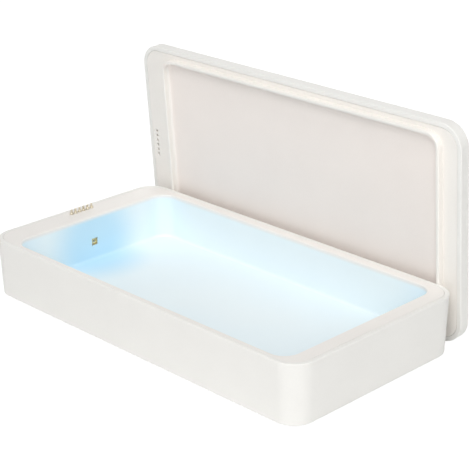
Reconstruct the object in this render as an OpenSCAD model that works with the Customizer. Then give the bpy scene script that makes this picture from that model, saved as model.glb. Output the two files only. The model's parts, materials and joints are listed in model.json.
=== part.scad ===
// UV-C sanitizer box for phones: a tray with a loose lid that leans on its back edge.
// Millimetres. The origin is on the table under the middle of the tray.
// X runs along the tray, -Y is its front, +Z is up.

/* [Tray] */
// Length of the tray and of its lid
base_l = 200; // [185:1:225]
// Width of the tray and of its lid
base_w = 105; // [98:1:120]
// Height of the tray shell without its feet
base_h = 28.4; // [25:0.2:36]
// Outer corner radius of the tray and the lid
corner_r = 11; // [10:0.5:14]
// Wall of the tray shell at the rim, which sets how far in the rim's seam lies
wall_t = 2.2; // [1.8:0.1:2.6]
// Angle by which the shell's outer walls narrow downwards
draft = 2; // [0:0.25:2.5]
// Floor of the tray shell
floor_t = 1.8; // [1.4:0.1:2.4]
// Rounding of the tray's lower outer edge
bottom_edge_r = 0.8; // [0.4:0.1:1.2]
// Rounding of the outer edges at the rim and on the lid's face
rim_edge_r = 0.4; // [0.2:0.1:0.6]

/* [Liner] */
// Wall and floor of the liner that forms the cavity
liner_t = 1.5; // [1.2:0.1:2]
// Thickness of the liner's rim plate
rim_t = 2; // [1.6:0.1:2.6]
// Hollow between shell and liner at the left, which holds the electronics
moat_left = 11.4; // [11:0.1:14]
// Hollow between shell and liner at the right
moat_right = 5.6; // [5:0.1:8]
// Hollow between shell and liner at the front
moat_front = 0; // [0:0.1:2]
// Hollow between shell and liner at the back
moat_back = 2.2; // [1:0.1:4]
// Hollow under the cavity's floor, which holds the cable
underfloor_h = 2.2; // [1.8:0.1:4]
// Corner radius of the cavity
cavity_r = 8; // [6:0.5:10]
// Rounding of the edge round the cavity's mouth
mouth_edge_r = 0.6; // [0.3:0.1:1]
// Fillet between the cavity's walls and its floor
cavity_fillet_r = 1.5; // [0.8:0.1:3]
// Clearance in the seam between shell and liner
seam_gap = 0.1; // [0.05:0.05:0.2]

/* [Feet and screws] */
// Diameter of a rubber foot
foot_d = 9; // [7:0.5:10]
// Height of a foot below the shell
foot_h = 1; // [0.6:0.1:1.4]
// Depth of the pocket that a foot is bonded into
foot_pocket = 0.6; // [0.4:0.1:0.8]
// Distance of a foot from the tray's end
foot_in_x = 18; // [14:0.5:30]
// Distance of a foot from the tray's side
foot_in_y = 16; // [12:0.5:24]
// Distance of a case screw from the tray's end
screw_in_x = 7.2; // [6.6:0.1:8]
// Distance of a case screw from the tray's side
screw_in_y = 6.4; // [6:0.1:7]
// Depth of a case screw's head below the shell's underside
screw_recess = 0.7; // [0.4:0.1:1]
// Diameter of a case screw
screw_d = 2.5; // [2:0.1:2.8]
// Diameter of a case screw's head
screw_head_d = 4.6; // [4:0.1:5]
// Height of a case screw's head
screw_head_h = 1.5; // [1.2:0.1:1.8]
// Length of a case screw under its head
screw_l = 12; // [8:0.5:16]
// Diameter of the liner's screw posts
post_d = 5; // [4.4:0.1:5.4]
// Wall round the head of a case screw in its seat
seat_wall = 1.2; // [0.8:0.1:1.4]
// Thickness of the shell's floor ribs
rib_t = 1.2; // [0.8:0.1:1.6]
// Length of the shell's floor ribs
rib_l = 150; // [100:5:155]
// Distance of the floor ribs from the middle
rib_y = 24; // [15:1:32]
// Gap between a screw seat and the underside of the cavity
seat_gap = 0.2; // [0.1:0.1:0.4]

/* [Charging contacts] */
// Pitch of the contacts
contact_pitch = 2.54; // [2.3:0.02:3]
// Distance of the contact row from the tray's left end
contact_in = 5.6; // [5:0.1:7]
// Height of a contact's tip above the rim
pin_rise = 2.5; // [2:0.1:2.8]
// Diameter of a contact's moving pin
pin_d = 1; // [0.8:0.05:1.1]
// Length of a moving pin
pin_l = 5.6; // [5:0.1:6.4]
// Clearance round a moving pin in its barrel
pin_gap = 0.03; // [0.02:0.01:0.06]
// Travel of a moving pin
pin_travel = 1.2; // [0.8:0.1:1.4]
// Diameter of a barrel's collar, which stands in the rim
collar_d = 1.8; // [1.6:0.05:2]
// Height of the collar above the rim
collar_rise = 0.9; // [0.6:0.1:1.2]
// Diameter of a barrel under its collar
barrel_d = 1.5; // [1.4:0.05:1.6]
// Length of a barrel below the rim
barrel_l = 8.2; // [7.8:0.1:9.5]
// Height of the block that carries the barrels
block_h = 4.4; // [3.6:0.1:5]
// Width of the block that carries the barrels
block_w = 4.2; // [3.6:0.1:4.6]
// Clearance round collars and barrels
barrel_gap = 0.04; // [0.02:0.01:0.08]

/* [Electronics] */
// Thickness of the control board
board_t = 1.2; // [1:0.1:1.6]
// Length of the control board
board_l = 70; // [65:1:76]
// Clearance of the board to the walls beside it
board_gap = 0.5; // [0.3:0.1:0.8]
// Height of the posts under the control board
board_post_h = 6; // [5:0.1:7]
// Place of the charging socket along Y
socket_y = 22; // [18:0.5:24]
// Place of the power button along Y
button_y = -22; // [-23:0.5:-18]
// Place of the indicator along Y
indicator_y = -12; // [-14:0.5:-11]
// Diameter of the power button's cap
button_d = 7; // [6:0.1:8]
// Length of the button's cap
button_l = 2.7; // [2.5:0.1:3]
// Clearance round the power button
button_gap = 0.1; // [0.05:0.01:0.2]
// Travel of the power button
button_travel = 0.4; // [0.25:0.05:0.5]
// Height of the buttons' and socket's middle above the board
port_rise = 1.75; // [1.7:0.05:2.2]
// Diameter of the indicator's light pipe
indicator_d = 2; // [1.5:0.1:2.5]

/* [UV light] */
// Side of a UV-C light package
led_s = 3.5; // [3:0.1:4]
// Height of the lights' middle above the cavity's floor
led_rise = 9.2; // [8:0.1:11]
// Length of a light's board
led_board_l = 24; // [20:0.5:28]
// Height of a light's board
led_board_h = 9; // [8:0.5:11]
// Thickness of a light's board
led_board_t = 1; // [0.8:0.1:1.6]
// Width of the flat cable to the lights
cable_w = 4; // [3:0.1:5]
// Thickness of the flat cable
cable_t = 0.6; // [0.4:0.05:0.8]

/* [Lid] */
// Thickness of the lid at its edge
lid_t = 5.8; // [5.4:0.1:7]
// Thickness of the lid's outer skin
lid_skin_t = 1.5; // [1.2:0.1:1.8]
// Width of the ledge in the lid that its cover lies on
lid_ledge = 1.2; // [0.8:0.1:2]
// Thickness of the lid's inner cover
cover_t = 1.3; // [1.1:0.1:1.5]
// Depth of the panel inside the locating ring, below the lid's border
panel_drop = 0.5; // [0.3:0.1:0.6]
// Height of the locating ring above the lid's border
ring_h = 2.8; // [2.2:0.1:3.2]
// Width of the locating ring
ring_w = 1.8; // [1.4:0.1:2.4]
// Clearance of the locating ring in the cavity's mouth
ring_gap = 0.6; // [0.3:0.1:1]
// Rounding of the locating ring's edges
ring_edge_r = 0.6; // [0.3:0.1:0.7]
// Fillet between the locating ring and the panel inside it
panel_fillet_r = 1.4; // [0.6:0.1:2]
// Depth of the lid's contacts below its border
contact_drop = 1.9; // [1.6:0.1:2.1]
// Diameter of the lid's contact holes
contact_hole_d = 1.5; // [1.3:0.1:1.7]
// Angle that the lid leans forward
lean = 4.5; // [3:0.25:7]
// Place of the loose lid's middle along X
lid_shift = -1.6; // [-4:0.1:4]
// Gap between the lid's ring and the tray that it leans on
lean_gap = 0.05; // [0.02:0.01:0.1]

/* [Charger] */
// Outer diameter of the charging coil
coil_d = 50; // [40:1:54]
// Inner diameter of the charging coil
coil_bore = 20; // [16:1:24]
// Thickness of the charging coil
coil_t = 1; // [0.8:0.05:1.1]
// Thickness of the ferrite sheet under the coil
ferrite_t = 0.6; // [0.4:0.05:0.7]
// Margin of the ferrite sheet round the coil
ferrite_margin = 2; // [1:0.5:4]

/* [Hidden] */
$fn = 64;
// How far a cut runs past the face that it opens
cut = 1;
// How far joined shapes reach into each other
sink = 0.5;
// Room left beyond the end of a travel
travel_spare = 0.1;
// Clearance round a screw in the hole that it bites into
thread_gap = 0.05;

// Heights above the table
rim_z = foot_h + base_h;
inner_floor_z = foot_h + floor_t;
cavity_floor_z = inner_floor_z + underfloor_h + liner_t;

// How far the shell's drafted wall lies inside its upper edge at height z
function wall_in(z) = (rim_z - z) * tan(draft);

// Rim widths round the cavity's mouth
rim_min = wall_t + seam_gap + liner_t;
rim_left = rim_min + moat_left;
rim_right = rim_min + moat_right;
rim_front = rim_min + moat_front;
rim_back = rim_min + moat_back;

// Cavity: its size, the place of its middle, and its ends
cavity_l = base_l - rim_left - rim_right;
cavity_w = base_w - rim_front - rim_back;
cavity_x = (rim_left - rim_right) / 2;
cavity_y = (rim_front - rim_back) / 2;
cavity_left = cavity_x - cavity_l / 2;
cavity_right = cavity_x + cavity_l / 2;

// Pocket in the shell, and the plate that fits it: the liner's rim or the lid's cover
pocket_l = base_l - 2 * wall_t;
pocket_w = base_w - 2 * wall_t;
pocket_r = corner_r - wall_t;
insert_l = pocket_l - 2 * seam_gap;
insert_w = pocket_w - 2 * seam_gap;
insert_r = pocket_r - seam_gap;

// Feet, case screws and their seats in the shell
foot_gap = 0.1;
foot_edge_r = 0.3;
foot_top_r = 0.2;
head_gap = 0.2;
screw_hole_gap = 0.1;
cross_w = 0.6;
cross_depth = 0.8;
screw_head_z = foot_h + screw_recess;
seat_d = screw_head_d + 2 * head_gap + 2 * seat_wall;
seat_h = underfloor_h - seat_gap;

// Contact row
contact_count = 6;
contact_x = contact_in - base_l / 2;
block_end = 1;
block_l = contact_count * contact_pitch + 2 * block_end;
collar_sunk = 0.5;
pin_dome_r = 0.6 * pin_d;

// Control board, its screws and the parts on it
board_z = inner_floor_z + board_post_h;
board_top = board_z + board_t;
board_left = wall_t + board_gap - base_l / 2;
board_w = moat_left + seam_gap - 2 * board_gap;
board_x = board_left + board_w / 2;
port_z = board_top + port_rise;
port_x = wall_in(port_z) - base_l / 2;
board_post_d = 4;
board_screw_in = 3;
board_screw_d = 1.8;
board_screw_head_d = 3.2;
board_screw_head_h = 1;
board_screw_l = 4.5;
board_hole_gap = 0.15;
pilot_spare = 0.5;
chip_x = board_x + 1.4;
// Chips: place along Y, length, width, height
board_chips = [[6, 5, 5, 0.9], [-4, 3, 4, 1.1]];
choke_y = 13;
choke_d = 4;
choke_h = 2.4;

// Indicator: the light on the board and the pipe in front of it
indicator_led_s = 1.6;
indicator_led_x = board_left + 0.4;
indicator_led_over = 0.6;
indicator_gap = 0.05;
indicator_recess = 0.05;

// Power button: cap, flange behind the wall, stem that meets the switch, finger dish
button_proud = 0.3;
button_edge_r = 0.3;
button_inner_r = 0.05;
button_flange_d = button_d + 2;
button_flange_t = 0.6;
button_flange_gap = 0.1;
button_flange_z = button_proud + wall_t - wall_in(port_z) + button_flange_gap;
button_stem_d = 2.4;
button_stem_l = 1.2;
dish_r = 15;
dish_depth = 0.25;
notch_margin = 0.5;
notch_depth = port_x - button_proud + max(button_l, button_flange_z + button_flange_t)
              + button_travel + travel_spare - board_left;

// Push switch: its front lies where its plunger meets the stem of the button
plunger_d = 1.6;
plunger_l = 2;
plunger_out = 0.7;
plunger_gap = 0.08;
switch_x = port_x + button_l + button_stem_l + plunger_out - button_proud;
switch_w = 4.6;
switch_l = 3.4;
switch_h = 3.5;

// Charging socket, with its tongue and its feet
socket_w = 8.94;
socket_h = 3.26;
socket_l = 7.35;
socket_wall = 0.3;
socket_back = 1;
socket_gap = 0.25;
socket_recess = 0.6;
tongue_w = 6.7;
tongue_t = 0.7;
tongue_recess = 0.8;
socket_foot_in = 2;
socket_foot_w = 1;
socket_foot_l = 2;

// Lights, and the pegs on the liner that carry their boards
led_base_t = 0.8;
led_well_floor = 0.3;
led_wall = 0.4;
led_chip_s = 1;
led_chip_h = 0.2;
led_window_t = 0.5;
led_window_in = 0.1;
led_gap = 0.1;
led_z = cavity_floor_z + led_rise;
peg_d = 1.6;
peg_gap = 0.05;
peg_in = 2.5;
peg_y = led_board_l / 2 - peg_in;

// Runs of flat cable
cable_bend_r = 1.4;
cable_off_middle = 1;
cable_over_led = 2;
cable_drop_in = 2;
cable_edge = 1;

// Lid: outline of the locating ring, inside of the skin, contact pads
ring_l = cavity_l - 2 * ring_gap;
ring_across = cavity_w - 2 * ring_gap;
ring_r = cavity_r - ring_gap;
lid_inside_z = lid_skin_t - lid_t;
pad_t = 0.4;
pad_margin = 0.2;
pad_d = contact_hole_d + 2 * pad_margin;
pad_z = -contact_drop - pad_t;

// Charger board in the lid, and its cable
charger_x = contact_x + 22;
charger_l = 22;
charger_w = 32;
charger_t = 0.8;
// Chips: place along X and Y, length, width, height
charger_chips = [[-1.5, -6.5, 5, 5, 0.8], [-2, 5, 4, 4, 0.7]];
lid_cable_t = 0.4;

// Place of the leaning lid, whose ring lies against the rounded back edge of the rim
lid_foot_y = base_w / 2 - rim_edge_r
    + (ring_h + rim_edge_r + lean_gap + (rim_z - rim_edge_r) * sin(lean)) / cos(lean);
lid_foot_z = -rim_edge_r * (cos(lean) + sin(lean) - 1);

// Colours
shell_colour = [0.93, 0.92, 0.9];
liner_colour = [0.9, 0.92, 0.93];
steel = [0.7, 0.7, 0.72];
gold = [0.86, 0.68, 0.34];
black_plastic = [0.16, 0.16, 0.17];
board_green = [0.12, 0.38, 0.25];
cable_grey = [0.75, 0.76, 0.78];

// Rectangle with rounded corners, centred
module rounded_rect(l, w, r) {
    square([l - 2 * r, w], center = true);
    square([l, w - 2 * r], center = true);
    for (x = [-1, 1], y = [-1, 1])
        translate([x * (l / 2 - r), y * (w / 2 - r)])
            circle(r);
}

// Plate with rounded corners and square edges, standing on z = 0
module plate(l, w, h, r) {
    linear_extrude(h)
        rounded_rect(l, w, r);
}

// Half section of a plate out to x, with its lower and upper corners rounded.
// Its foot lies further in than its top by taper.
module edge_section(x, h, low_r, top_r, taper = 0) {
    side = sqrt(h * h + taper * taper);
    outward = [h, -taper] / side;
    low = [x - taper - low_r * (side - taper) / h, low_r];
    top = [x - top_r * (side + taper) / h, h - top_r];
    polygon([[0, 0], [low[0], 0], low + low_r * outward,
             top + top_r * outward, [top[0], h], [0, h]]);
    translate(low)
        circle(low_r);
    translate(top)
        circle(top_r);
}

// Plate with rounded corners, and with rounded lower and upper edges
module soft_plate(l, w, h, r, low_r, top_r, taper = 0) {
    for (x = [-1, 1], y = [-1, 1])
        translate([x * (l / 2 - r), y * (w / 2 - r), 0])
            rotate_extrude()
                edge_section(r, h, low_r, top_r, taper);
    rotate([90, 0, 0])
        linear_extrude(w - 2 * r, center = true)
            for (side = [0, 1])
                mirror([side, 0])
                    edge_section(l / 2, h, low_r, top_r, taper);
    rotate([90, 0, 90])
        linear_extrude(l - 2 * r, center = true)
            for (side = [0, 1])
                mirror([side, 0])
                    edge_section(w / 2, h, low_r, top_r, taper);
}

// Sweeps a 2D profile round a rounded rectangle: x points outwards and y up
module along_outline(l, w, r) {
    for (quarter = [0 : 3])
        rotate(90 * quarter)
            translate([quarter % 2 == 0 ? l / 2 - r : w / 2 - r,
                       quarter % 2 == 0 ? w / 2 - r : l / 2 - r, 0])
                rotate_extrude(angle = 90)
                    translate([r, 0])
                        children();
    for (quarter = [0 : 3])
        rotate(90 * quarter)
            translate([quarter % 2 == 0 ? l / 2 : w / 2, 0, 0])
                rotate([90, 0, 0])
                    linear_extrude((quarter % 2 == 0 ? w : l) - 2 * r, center = true)
                        children();
}

// Corner filler between a wall at x = 0 and a floor at y = 0, for a swept fillet
module fillet_section(r) {
    difference() {
        translate([-r, 0])
            square(r);
        translate([-r, r])
            circle(r);
    }
}

// Cutter that rounds the upper inner edge of an opening, swept along the opening
module mouth_section(r) {
    difference() {
        translate([0, -r])
            square([r, r + cut]);
        translate([r, -r])
            circle(r);
    }
}

// Repeats its children at four places, so far in from the tray's ends and sides
module at_four(in_x, in_y) {
    for (x = [-1, 1], y = [-1, 1])
        translate([x * (base_l / 2 - in_x), y * (base_w / 2 - in_y), 0])
            children();
}

// Repeats its children at the case screws
module at_screws() {
    at_four(screw_in_x, screw_in_y)
        children();
}

// Repeats its children along the contact row
module at_contacts() {
    for (i = [1 : contact_count])
        translate([contact_x, (i - (contact_count + 1) / 2) * contact_pitch, 0])
            children();
}

// Repeats its children at the two board screws
module at_board_screws() {
    for (y = [-1, 1])
        translate([board_x, y * (board_l / 2 - board_screw_in), 0])
            children();
}

// Places a part drawn along +Z so that it runs in from the face of the tray's left end
module from_left_end(y, z) {
    translate([port_x, y, z])
        rotate([0, 90, 0])
            children();
}

// Stands a lid part, drawn face up with its border at z = 0, against the tray
module lid_place() {
    translate([lid_shift, lid_foot_y, lid_foot_z])
        rotate([90 + lean, 0, 0])
            translate([0, base_w / 2, 0])
                children();
}

// Tray shell: outer wall and floor with seats, posts, ribs and cut-outs
module base_shell() {
    color(shell_colour)
    difference() {
        union() {
            difference() {
                translate([0, 0, foot_h])
                    soft_plate(base_l, base_w, base_h, corner_r, bottom_edge_r, rim_edge_r,
                               wall_in(foot_h));
                translate([0, 0, inner_floor_z])
                    plate(pocket_l, pocket_w, base_h, pocket_r);
            }
            // Seats that the liner's screw posts stand on
            at_screws()
                translate([0, 0, inner_floor_z - floor_t / 2])
                    cylinder(d = seat_d, h = seat_h + floor_t / 2);
            // Ribs that the cavity's floor rests on
            for (y = [-rib_y, rib_y])
                translate([cavity_x - rib_l / 2, y - rib_t / 2, inner_floor_z - floor_t / 2])
                    cube([rib_l, rib_t, underfloor_h + floor_t / 2]);
            // Posts under the control board
            at_board_screws()
                translate([0, 0, inner_floor_z - floor_t / 2])
                    cylinder(d = board_post_d, h = board_post_h + floor_t / 2);
        }
        // Foot pockets, screw head bores and screw holes
        at_four(foot_in_x, foot_in_y)
            cylinder(d = foot_d + 2 * foot_gap, h = foot_h + foot_pocket);
        at_screws() {
            cylinder(d = screw_head_d + 2 * head_gap, h = screw_head_z + screw_head_h);
            cylinder(d = screw_d + 2 * screw_hole_gap, h = inner_floor_z + seat_h + cut);
        }
        // Pilot holes of the board screws
        at_board_screws()
            translate([0, 0, board_z - board_screw_l - pilot_spare])
                cylinder(d = board_screw_d + 2 * thread_gap,
                         h = board_screw_l + pilot_spare + cut);
        // Button hole, light pipe hole and socket slot in the left end
        from_left_end(button_y, port_z)
            translate([0, 0, -cut])
                cylinder(d = button_d + 2 * button_gap, h = wall_t + 2 * cut);
        from_left_end(indicator_y, port_z)
            translate([0, 0, -cut])
                cylinder(d = indicator_d + 2 * indicator_gap, h = wall_t + 2 * cut);
        from_left_end(socket_y, port_z)
            translate([0, 0, -cut])
                linear_extrude(wall_t + 2 * cut)
                    slot(socket_w + 2 * socket_gap, socket_h + 2 * socket_gap);
    }
}

// Slot with round ends, its length along Y and its height along X
module slot(w, h) {
    square([h, w - h], center = true);
    for (y = [-1, 1])
        translate([0, y * (w - h) / 2])
            circle(d = h);
}

// Liner: rim plate and cavity in one moulding, with posts, pegs and windows
module base_liner() {
    color(liner_colour)
    difference() {
        union() {
            translate([0, 0, rim_z - rim_t])
                plate(insert_l, insert_w, rim_t, insert_r);
            translate([cavity_x, cavity_y, cavity_floor_z - liner_t])
                plate(cavity_l + 2 * liner_t, cavity_w + 2 * liner_t,
                      rim_z - cavity_floor_z + liner_t - rim_t / 2, cavity_r + liner_t);
            at_screws()
                translate([0, 0, inner_floor_z + seat_h])
                    cylinder(d = post_d, h = rim_z - inner_floor_z - seat_h - rim_t / 2);
            led_pegs();
        }
        difference() {
            translate([cavity_x, cavity_y, cavity_floor_z])
                plate(cavity_l, cavity_w, base_h, cavity_r);
            translate([cavity_x, cavity_y, cavity_floor_z])
                along_outline(cavity_l, cavity_w, cavity_r)
                    fillet_section(cavity_fillet_r);
        }
        translate([cavity_x, cavity_y, rim_z])
            along_outline(cavity_l, cavity_w, cavity_r)
                mouth_section(mouth_edge_r);
        at_screws()
            cylinder(d = screw_d + 2 * thread_gap, h = inner_floor_z + seat_h + screw_l);
        at_contacts()
            translate([0, 0, rim_z - rim_t - cut])
                cylinder(d = collar_d + 2 * barrel_gap, h = rim_t + 2 * cut);
        // Windows for the lights
        for (x = [cavity_left - liner_t / 2, cavity_right + liner_t / 2])
            translate([x, 0, led_z])
                cube([liner_t + 2 * cut, led_s + 2 * led_gap, led_s + 2 * led_gap],
                     center = true);
    }
}

// Pegs on the outside of the cavity's ends, which hold the light boards
module led_pegs() {
    for (side = [-1, 1], y = [-1, 1])
        translate([side > 0 ? cavity_right + liner_t - sink
                            : cavity_left - liner_t - led_board_t,
                   y * peg_y, led_z])
            rotate([0, 90, 0])
                cylinder(d = peg_d, h = led_board_t + sink);
}

// Four bonded rubber feet
module rubber_feet() {
    color([0.2, 0.2, 0.21])
    at_four(foot_in_x, foot_in_y)
        rotate_extrude()
            edge_section(foot_d / 2, foot_h + foot_pocket, foot_edge_r, foot_top_r);
}

// Four pan head screws that clamp shell and liner
module case_screws() {
    color(steel)
    at_screws()
        translate([0, 0, screw_head_z]) {
            difference() {
                cylinder(d = screw_head_d, h = screw_head_h);
                // Cross recess
                for (turn = [0, 90])
                    rotate(turn)
                        translate([-screw_head_d / 4, -cross_w / 2, -cut])
                            cube([screw_head_d / 2, cross_w, cross_depth + cut]);
            }
            translate([0, 0, screw_head_h])
                cylinder(d = screw_d, h = screw_l);
        }
}

// Control board with its main parts
module control_board() {
    color(board_green) {
        difference() {
            translate([board_left, -board_l / 2, board_z])
                cube([board_w, board_l, board_t]);
            at_board_screws()
                translate([0, 0, board_z - cut])
                    cylinder(d = board_screw_d + 2 * board_hole_gap, h = board_t + 2 * cut);
            // Notch that clears the power button
            translate([board_left - cut, button_y - button_flange_d / 2 - notch_margin,
                       board_z - cut])
                cube([notch_depth + cut, button_flange_d + 2 * notch_margin,
                      board_t + 2 * cut]);
        }
        for (c = board_chips)
            translate([chip_x, c[0], board_top])
                chip(c[1], c[2], c[3]);
        translate([chip_x, choke_y, board_top])
            cylinder(d = choke_d, h = choke_h);
        // Light behind the indicator
        translate([indicator_led_x + indicator_led_s / 2, indicator_y, board_top])
            chip(indicator_led_s, indicator_led_s, port_rise + indicator_led_over);
    }
}

// Board part with its middle at the origin
module chip(l, w, h) {
    translate([-l / 2, -w / 2, 0])
        cube([l, w, h]);
}

// Two screws that hold the control board on its posts
module board_screws() {
    color(steel)
    at_board_screws() {
        translate([0, 0, board_top])
            cylinder(d = board_screw_head_d, h = board_screw_head_h);
        translate([0, 0, board_z - board_screw_l])
            cylinder(d = board_screw_d, h = board_t + board_screw_l);
    }
}

// Charging socket: drawn metal shell with the tongue inside
module usb_socket() {
    color([0.78, 0.79, 0.8])
    from_left_end(socket_y, port_z)
        translate([0, 0, socket_recess]) {
            difference() {
                linear_extrude(socket_l)
                    slot(socket_w, socket_h);
                translate([0, 0, -cut])
                    linear_extrude(socket_l - socket_back + cut)
                        slot(socket_w - 2 * socket_wall, socket_h - 2 * socket_wall);
            }
            translate([-tongue_t / 2, -tongue_w / 2, tongue_recess])
                cube([tongue_t, tongue_w, socket_l - tongue_recess - socket_back / 2]);
            // Feet down to the board
            for (y = [-1, 1])
                translate([socket_h / 2 - socket_wall / 2,
                           y * (socket_w / 2 - socket_foot_in) - socket_foot_w / 2,
                           socket_l - socket_back - socket_foot_l])
                    cube([port_rise - socket_h / 2 + socket_wall / 2, socket_foot_w,
                          socket_foot_l]);
        }
}

// Push switch on the board, with a bore for its plunger
module tact_switch() {
    color(black_plastic)
    difference() {
        translate([switch_x, button_y - switch_w / 2, board_top])
            cube([switch_l, switch_w, switch_h]);
        translate([switch_x - cut, button_y, port_z])
            rotate([0, 90, 0])
                cylinder(d = plunger_d + 2 * plunger_gap,
                         h = plunger_l - plunger_out + button_travel + travel_spare + cut);
    }
}

// Plunger of the switch
module switch_plunger() {
    color([0.85, 0.85, 0.82])
    translate([switch_x - plunger_out, button_y, port_z])
        rotate([0, 90, 0])
            cylinder(d = plunger_d, h = plunger_l);
}

// Power button: dished cap, inner flange that keeps it in, and stem
module power_button() {
    color([0.86, 0.87, 0.88])
    from_left_end(button_y, port_z)
        translate([0, 0, -button_proud]) {
            difference() {
                union() {
                    rotate_extrude()
                        edge_section(button_d / 2, button_l, button_edge_r, button_inner_r);
                    translate([0, 0, button_flange_z])
                        cylinder(d = button_flange_d, h = button_flange_t);
                }
                // Finger dish
                translate([0, 0, dish_depth - dish_r])
                    sphere(r = dish_r);
            }
            translate([0, 0, button_l - sink])
                cylinder(d = button_stem_d, h = button_stem_l + sink);
        }
}

// Light pipe of the indicator
module indicator_lens() {
    color([0.9, 0.95, 0.9, 0.7])
    from_left_end(indicator_y, port_z)
        translate([0, 0, indicator_recess])
            cylinder(d = indicator_d, h = indicator_led_x - port_x - indicator_recess);
}

// Insulating block that carries the six barrels under the rim
module contact_block() {
    color(black_plastic)
    difference() {
        translate([contact_x - block_w / 2, -block_l / 2, rim_z - rim_t - block_h])
            cube([block_w, block_l, block_h]);
        at_contacts()
            translate([0, 0, rim_z - rim_t - block_h - cut])
                cylinder(d = barrel_d + 2 * barrel_gap, h = block_h + 2 * cut);
        at_contacts()
            translate([0, 0, rim_z - rim_t - collar_sunk])
                cylinder(d = collar_d + 2 * barrel_gap, h = collar_sunk + cut);
    }
}

// Gold plated barrels of the contacts, bored for the moving pins
module contact_barrels() {
    color(gold)
    at_contacts()
        difference() {
            union() {
                translate([0, 0, rim_z - rim_t - collar_sunk])
                    cylinder(d = collar_d, h = rim_t + collar_sunk + collar_rise);
                translate([0, 0, rim_z - barrel_l])
                    cylinder(d = barrel_d, h = barrel_l);
            }
            translate([0, 0, rim_z + pin_rise - pin_l - pin_travel - travel_spare])
                cylinder(d = pin_d + 2 * pin_gap,
                         h = pin_l + pin_travel + travel_spare + cut);
        }
}

// One moving pin with a domed tip
module contact_pin(i) {
    color(gold)
    translate([contact_x, (i - (contact_count + 1) / 2) * contact_pitch,
               rim_z + pin_rise - pin_l])
        intersection() {
            cylinder(d = pin_d, h = pin_l);
            union() {
                cylinder(d = 2 * pin_d, h = pin_l - pin_dome_r);
                translate([0, 0, pin_l - pin_dome_r])
                    sphere(r = pin_dome_r);
            }
        }
}

// Flat cable from the barrels down to the control board
module contact_cable() {
    color(cable_grey)
    translate([contact_x - cable_t / 2, cable_edge - block_l / 2, board_top])
        cube([cable_t, block_l - 2 * cable_edge, rim_z - barrel_l - board_top]);
}

// Board of one light: side is -1 at the left end and 1 at the right end
module led_board(side) {
    wall_x = side < 0 ? cavity_left - liner_t - led_board_t : cavity_right + liner_t;
    color([0.92, 0.92, 0.9])
    difference() {
        translate([wall_x, -led_board_l / 2, led_z - led_board_h / 2])
            cube([led_board_t, led_board_l, led_board_h]);
        for (y = [-1, 1])
            translate([wall_x - cut, y * peg_y, led_z])
                rotate([0, 90, 0])
                    cylinder(d = peg_d + 2 * peg_gap, h = led_board_t + 2 * cut);
    }
}

// Draws a light part, laid out face up on its board, in its window
module at_led(side) {
    translate([side < 0 ? cavity_left - liner_t : cavity_right + liner_t, 0, led_z])
        rotate([0, side < 0 ? 90 : -90, 0])
            children();
}

// Light package: gold plated base with a well and the chip in it
module uv_led(side) {
    color(gold)
    at_led(side) {
        difference() {
            translate([-led_s / 2, -led_s / 2, 0])
                cube([led_s, led_s, led_base_t]);
            translate([led_wall - led_s / 2, led_wall - led_s / 2, led_well_floor])
                cube([led_s - 2 * led_wall, led_s - 2 * led_wall, led_base_t]);
        }
        translate([0, 0, led_well_floor])
            chip(led_chip_s, led_chip_s, led_chip_h);
    }
}

// Quartz windows on the two lights
module uv_led_windows() {
    color([0.8, 0.9, 1, 0.4])
    for (side = [-1, 1])
        at_led(side)
            translate([0, 0, led_base_t])
                chip(led_s - 2 * led_window_in, led_s - 2 * led_window_in, led_window_t);
}

// Flat cables: control board to the left light, and under the cavity to the right light
module led_cables() {
    left_x = cavity_left - liner_t - led_board_t;
    right_x = cavity_right + liner_t + led_board_t + cable_t;
    drop_x = board_left + board_w - cable_drop_in;
    color(cable_grey) {
        // Left: from the top of the board up the back of the light's board
        translate([left_x - cable_t, -cable_w - cable_off_middle, board_top])
            cube([cable_t, cable_w, led_z - board_top + cable_over_led]);
        // Right: down from the board, along the floor, and up to the light's board
        translate([0, cable_w + cable_off_middle, inner_floor_z])
            rotate([90, 0, 0])
                linear_extrude(cable_w) {
                    translate([drop_x, 0])
                        cable_rise(board_z - inner_floor_z);
                    translate([drop_x + cable_bend_r, 0])
                        square([right_x - drop_x - 2 * cable_bend_r, cable_t]);
                    translate([right_x, 0])
                        mirror([1, 0])
                            cable_rise(led_z - inner_floor_z + cable_over_led);
                }
    }
}

// Side view of a rise of the cable, with the bend at its foot turning towards +X
module cable_rise(h) {
    translate([0, cable_bend_r])
        square([cable_t, h - cable_bend_r]);
    intersection() {
        square(cable_bend_r);
        translate([cable_bend_r, cable_bend_r])
            difference() {
                circle(cable_bend_r);
                circle(cable_bend_r - cable_t);
            }
    }
}

// Lid shell: outer skin and wall
module lid_shell() {
    color(shell_colour)
    lid_place()
        difference() {
            translate([0, 0, -lid_t])
                soft_plate(base_l, base_w, lid_t, corner_r, bottom_edge_r, rim_edge_r);
            translate([0, 0, -cover_t])
                plate(pocket_l, pocket_w, lid_t, pocket_r);
            translate([0, 0, lid_inside_z])
                plate(pocket_l - 2 * lid_ledge, pocket_w - 2 * lid_ledge, lid_t,
                      pocket_r - lid_ledge);
        }
}

// Profile of the locating ring, its outer face at x = 0, with the fillet at its inner foot
module ring_section() {
    translate([-ring_w, -panel_drop]) {
        square([ring_w, panel_drop + ring_h - ring_edge_r]);
        fillet_section(panel_fillet_r);
    }
    translate([ring_edge_r - ring_w, 0])
        square([ring_w - 2 * ring_edge_r, ring_h]);
    for (x = [-ring_edge_r, ring_edge_r - ring_w])
        translate([x, ring_h - ring_edge_r])
            circle(ring_edge_r);
}

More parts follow.
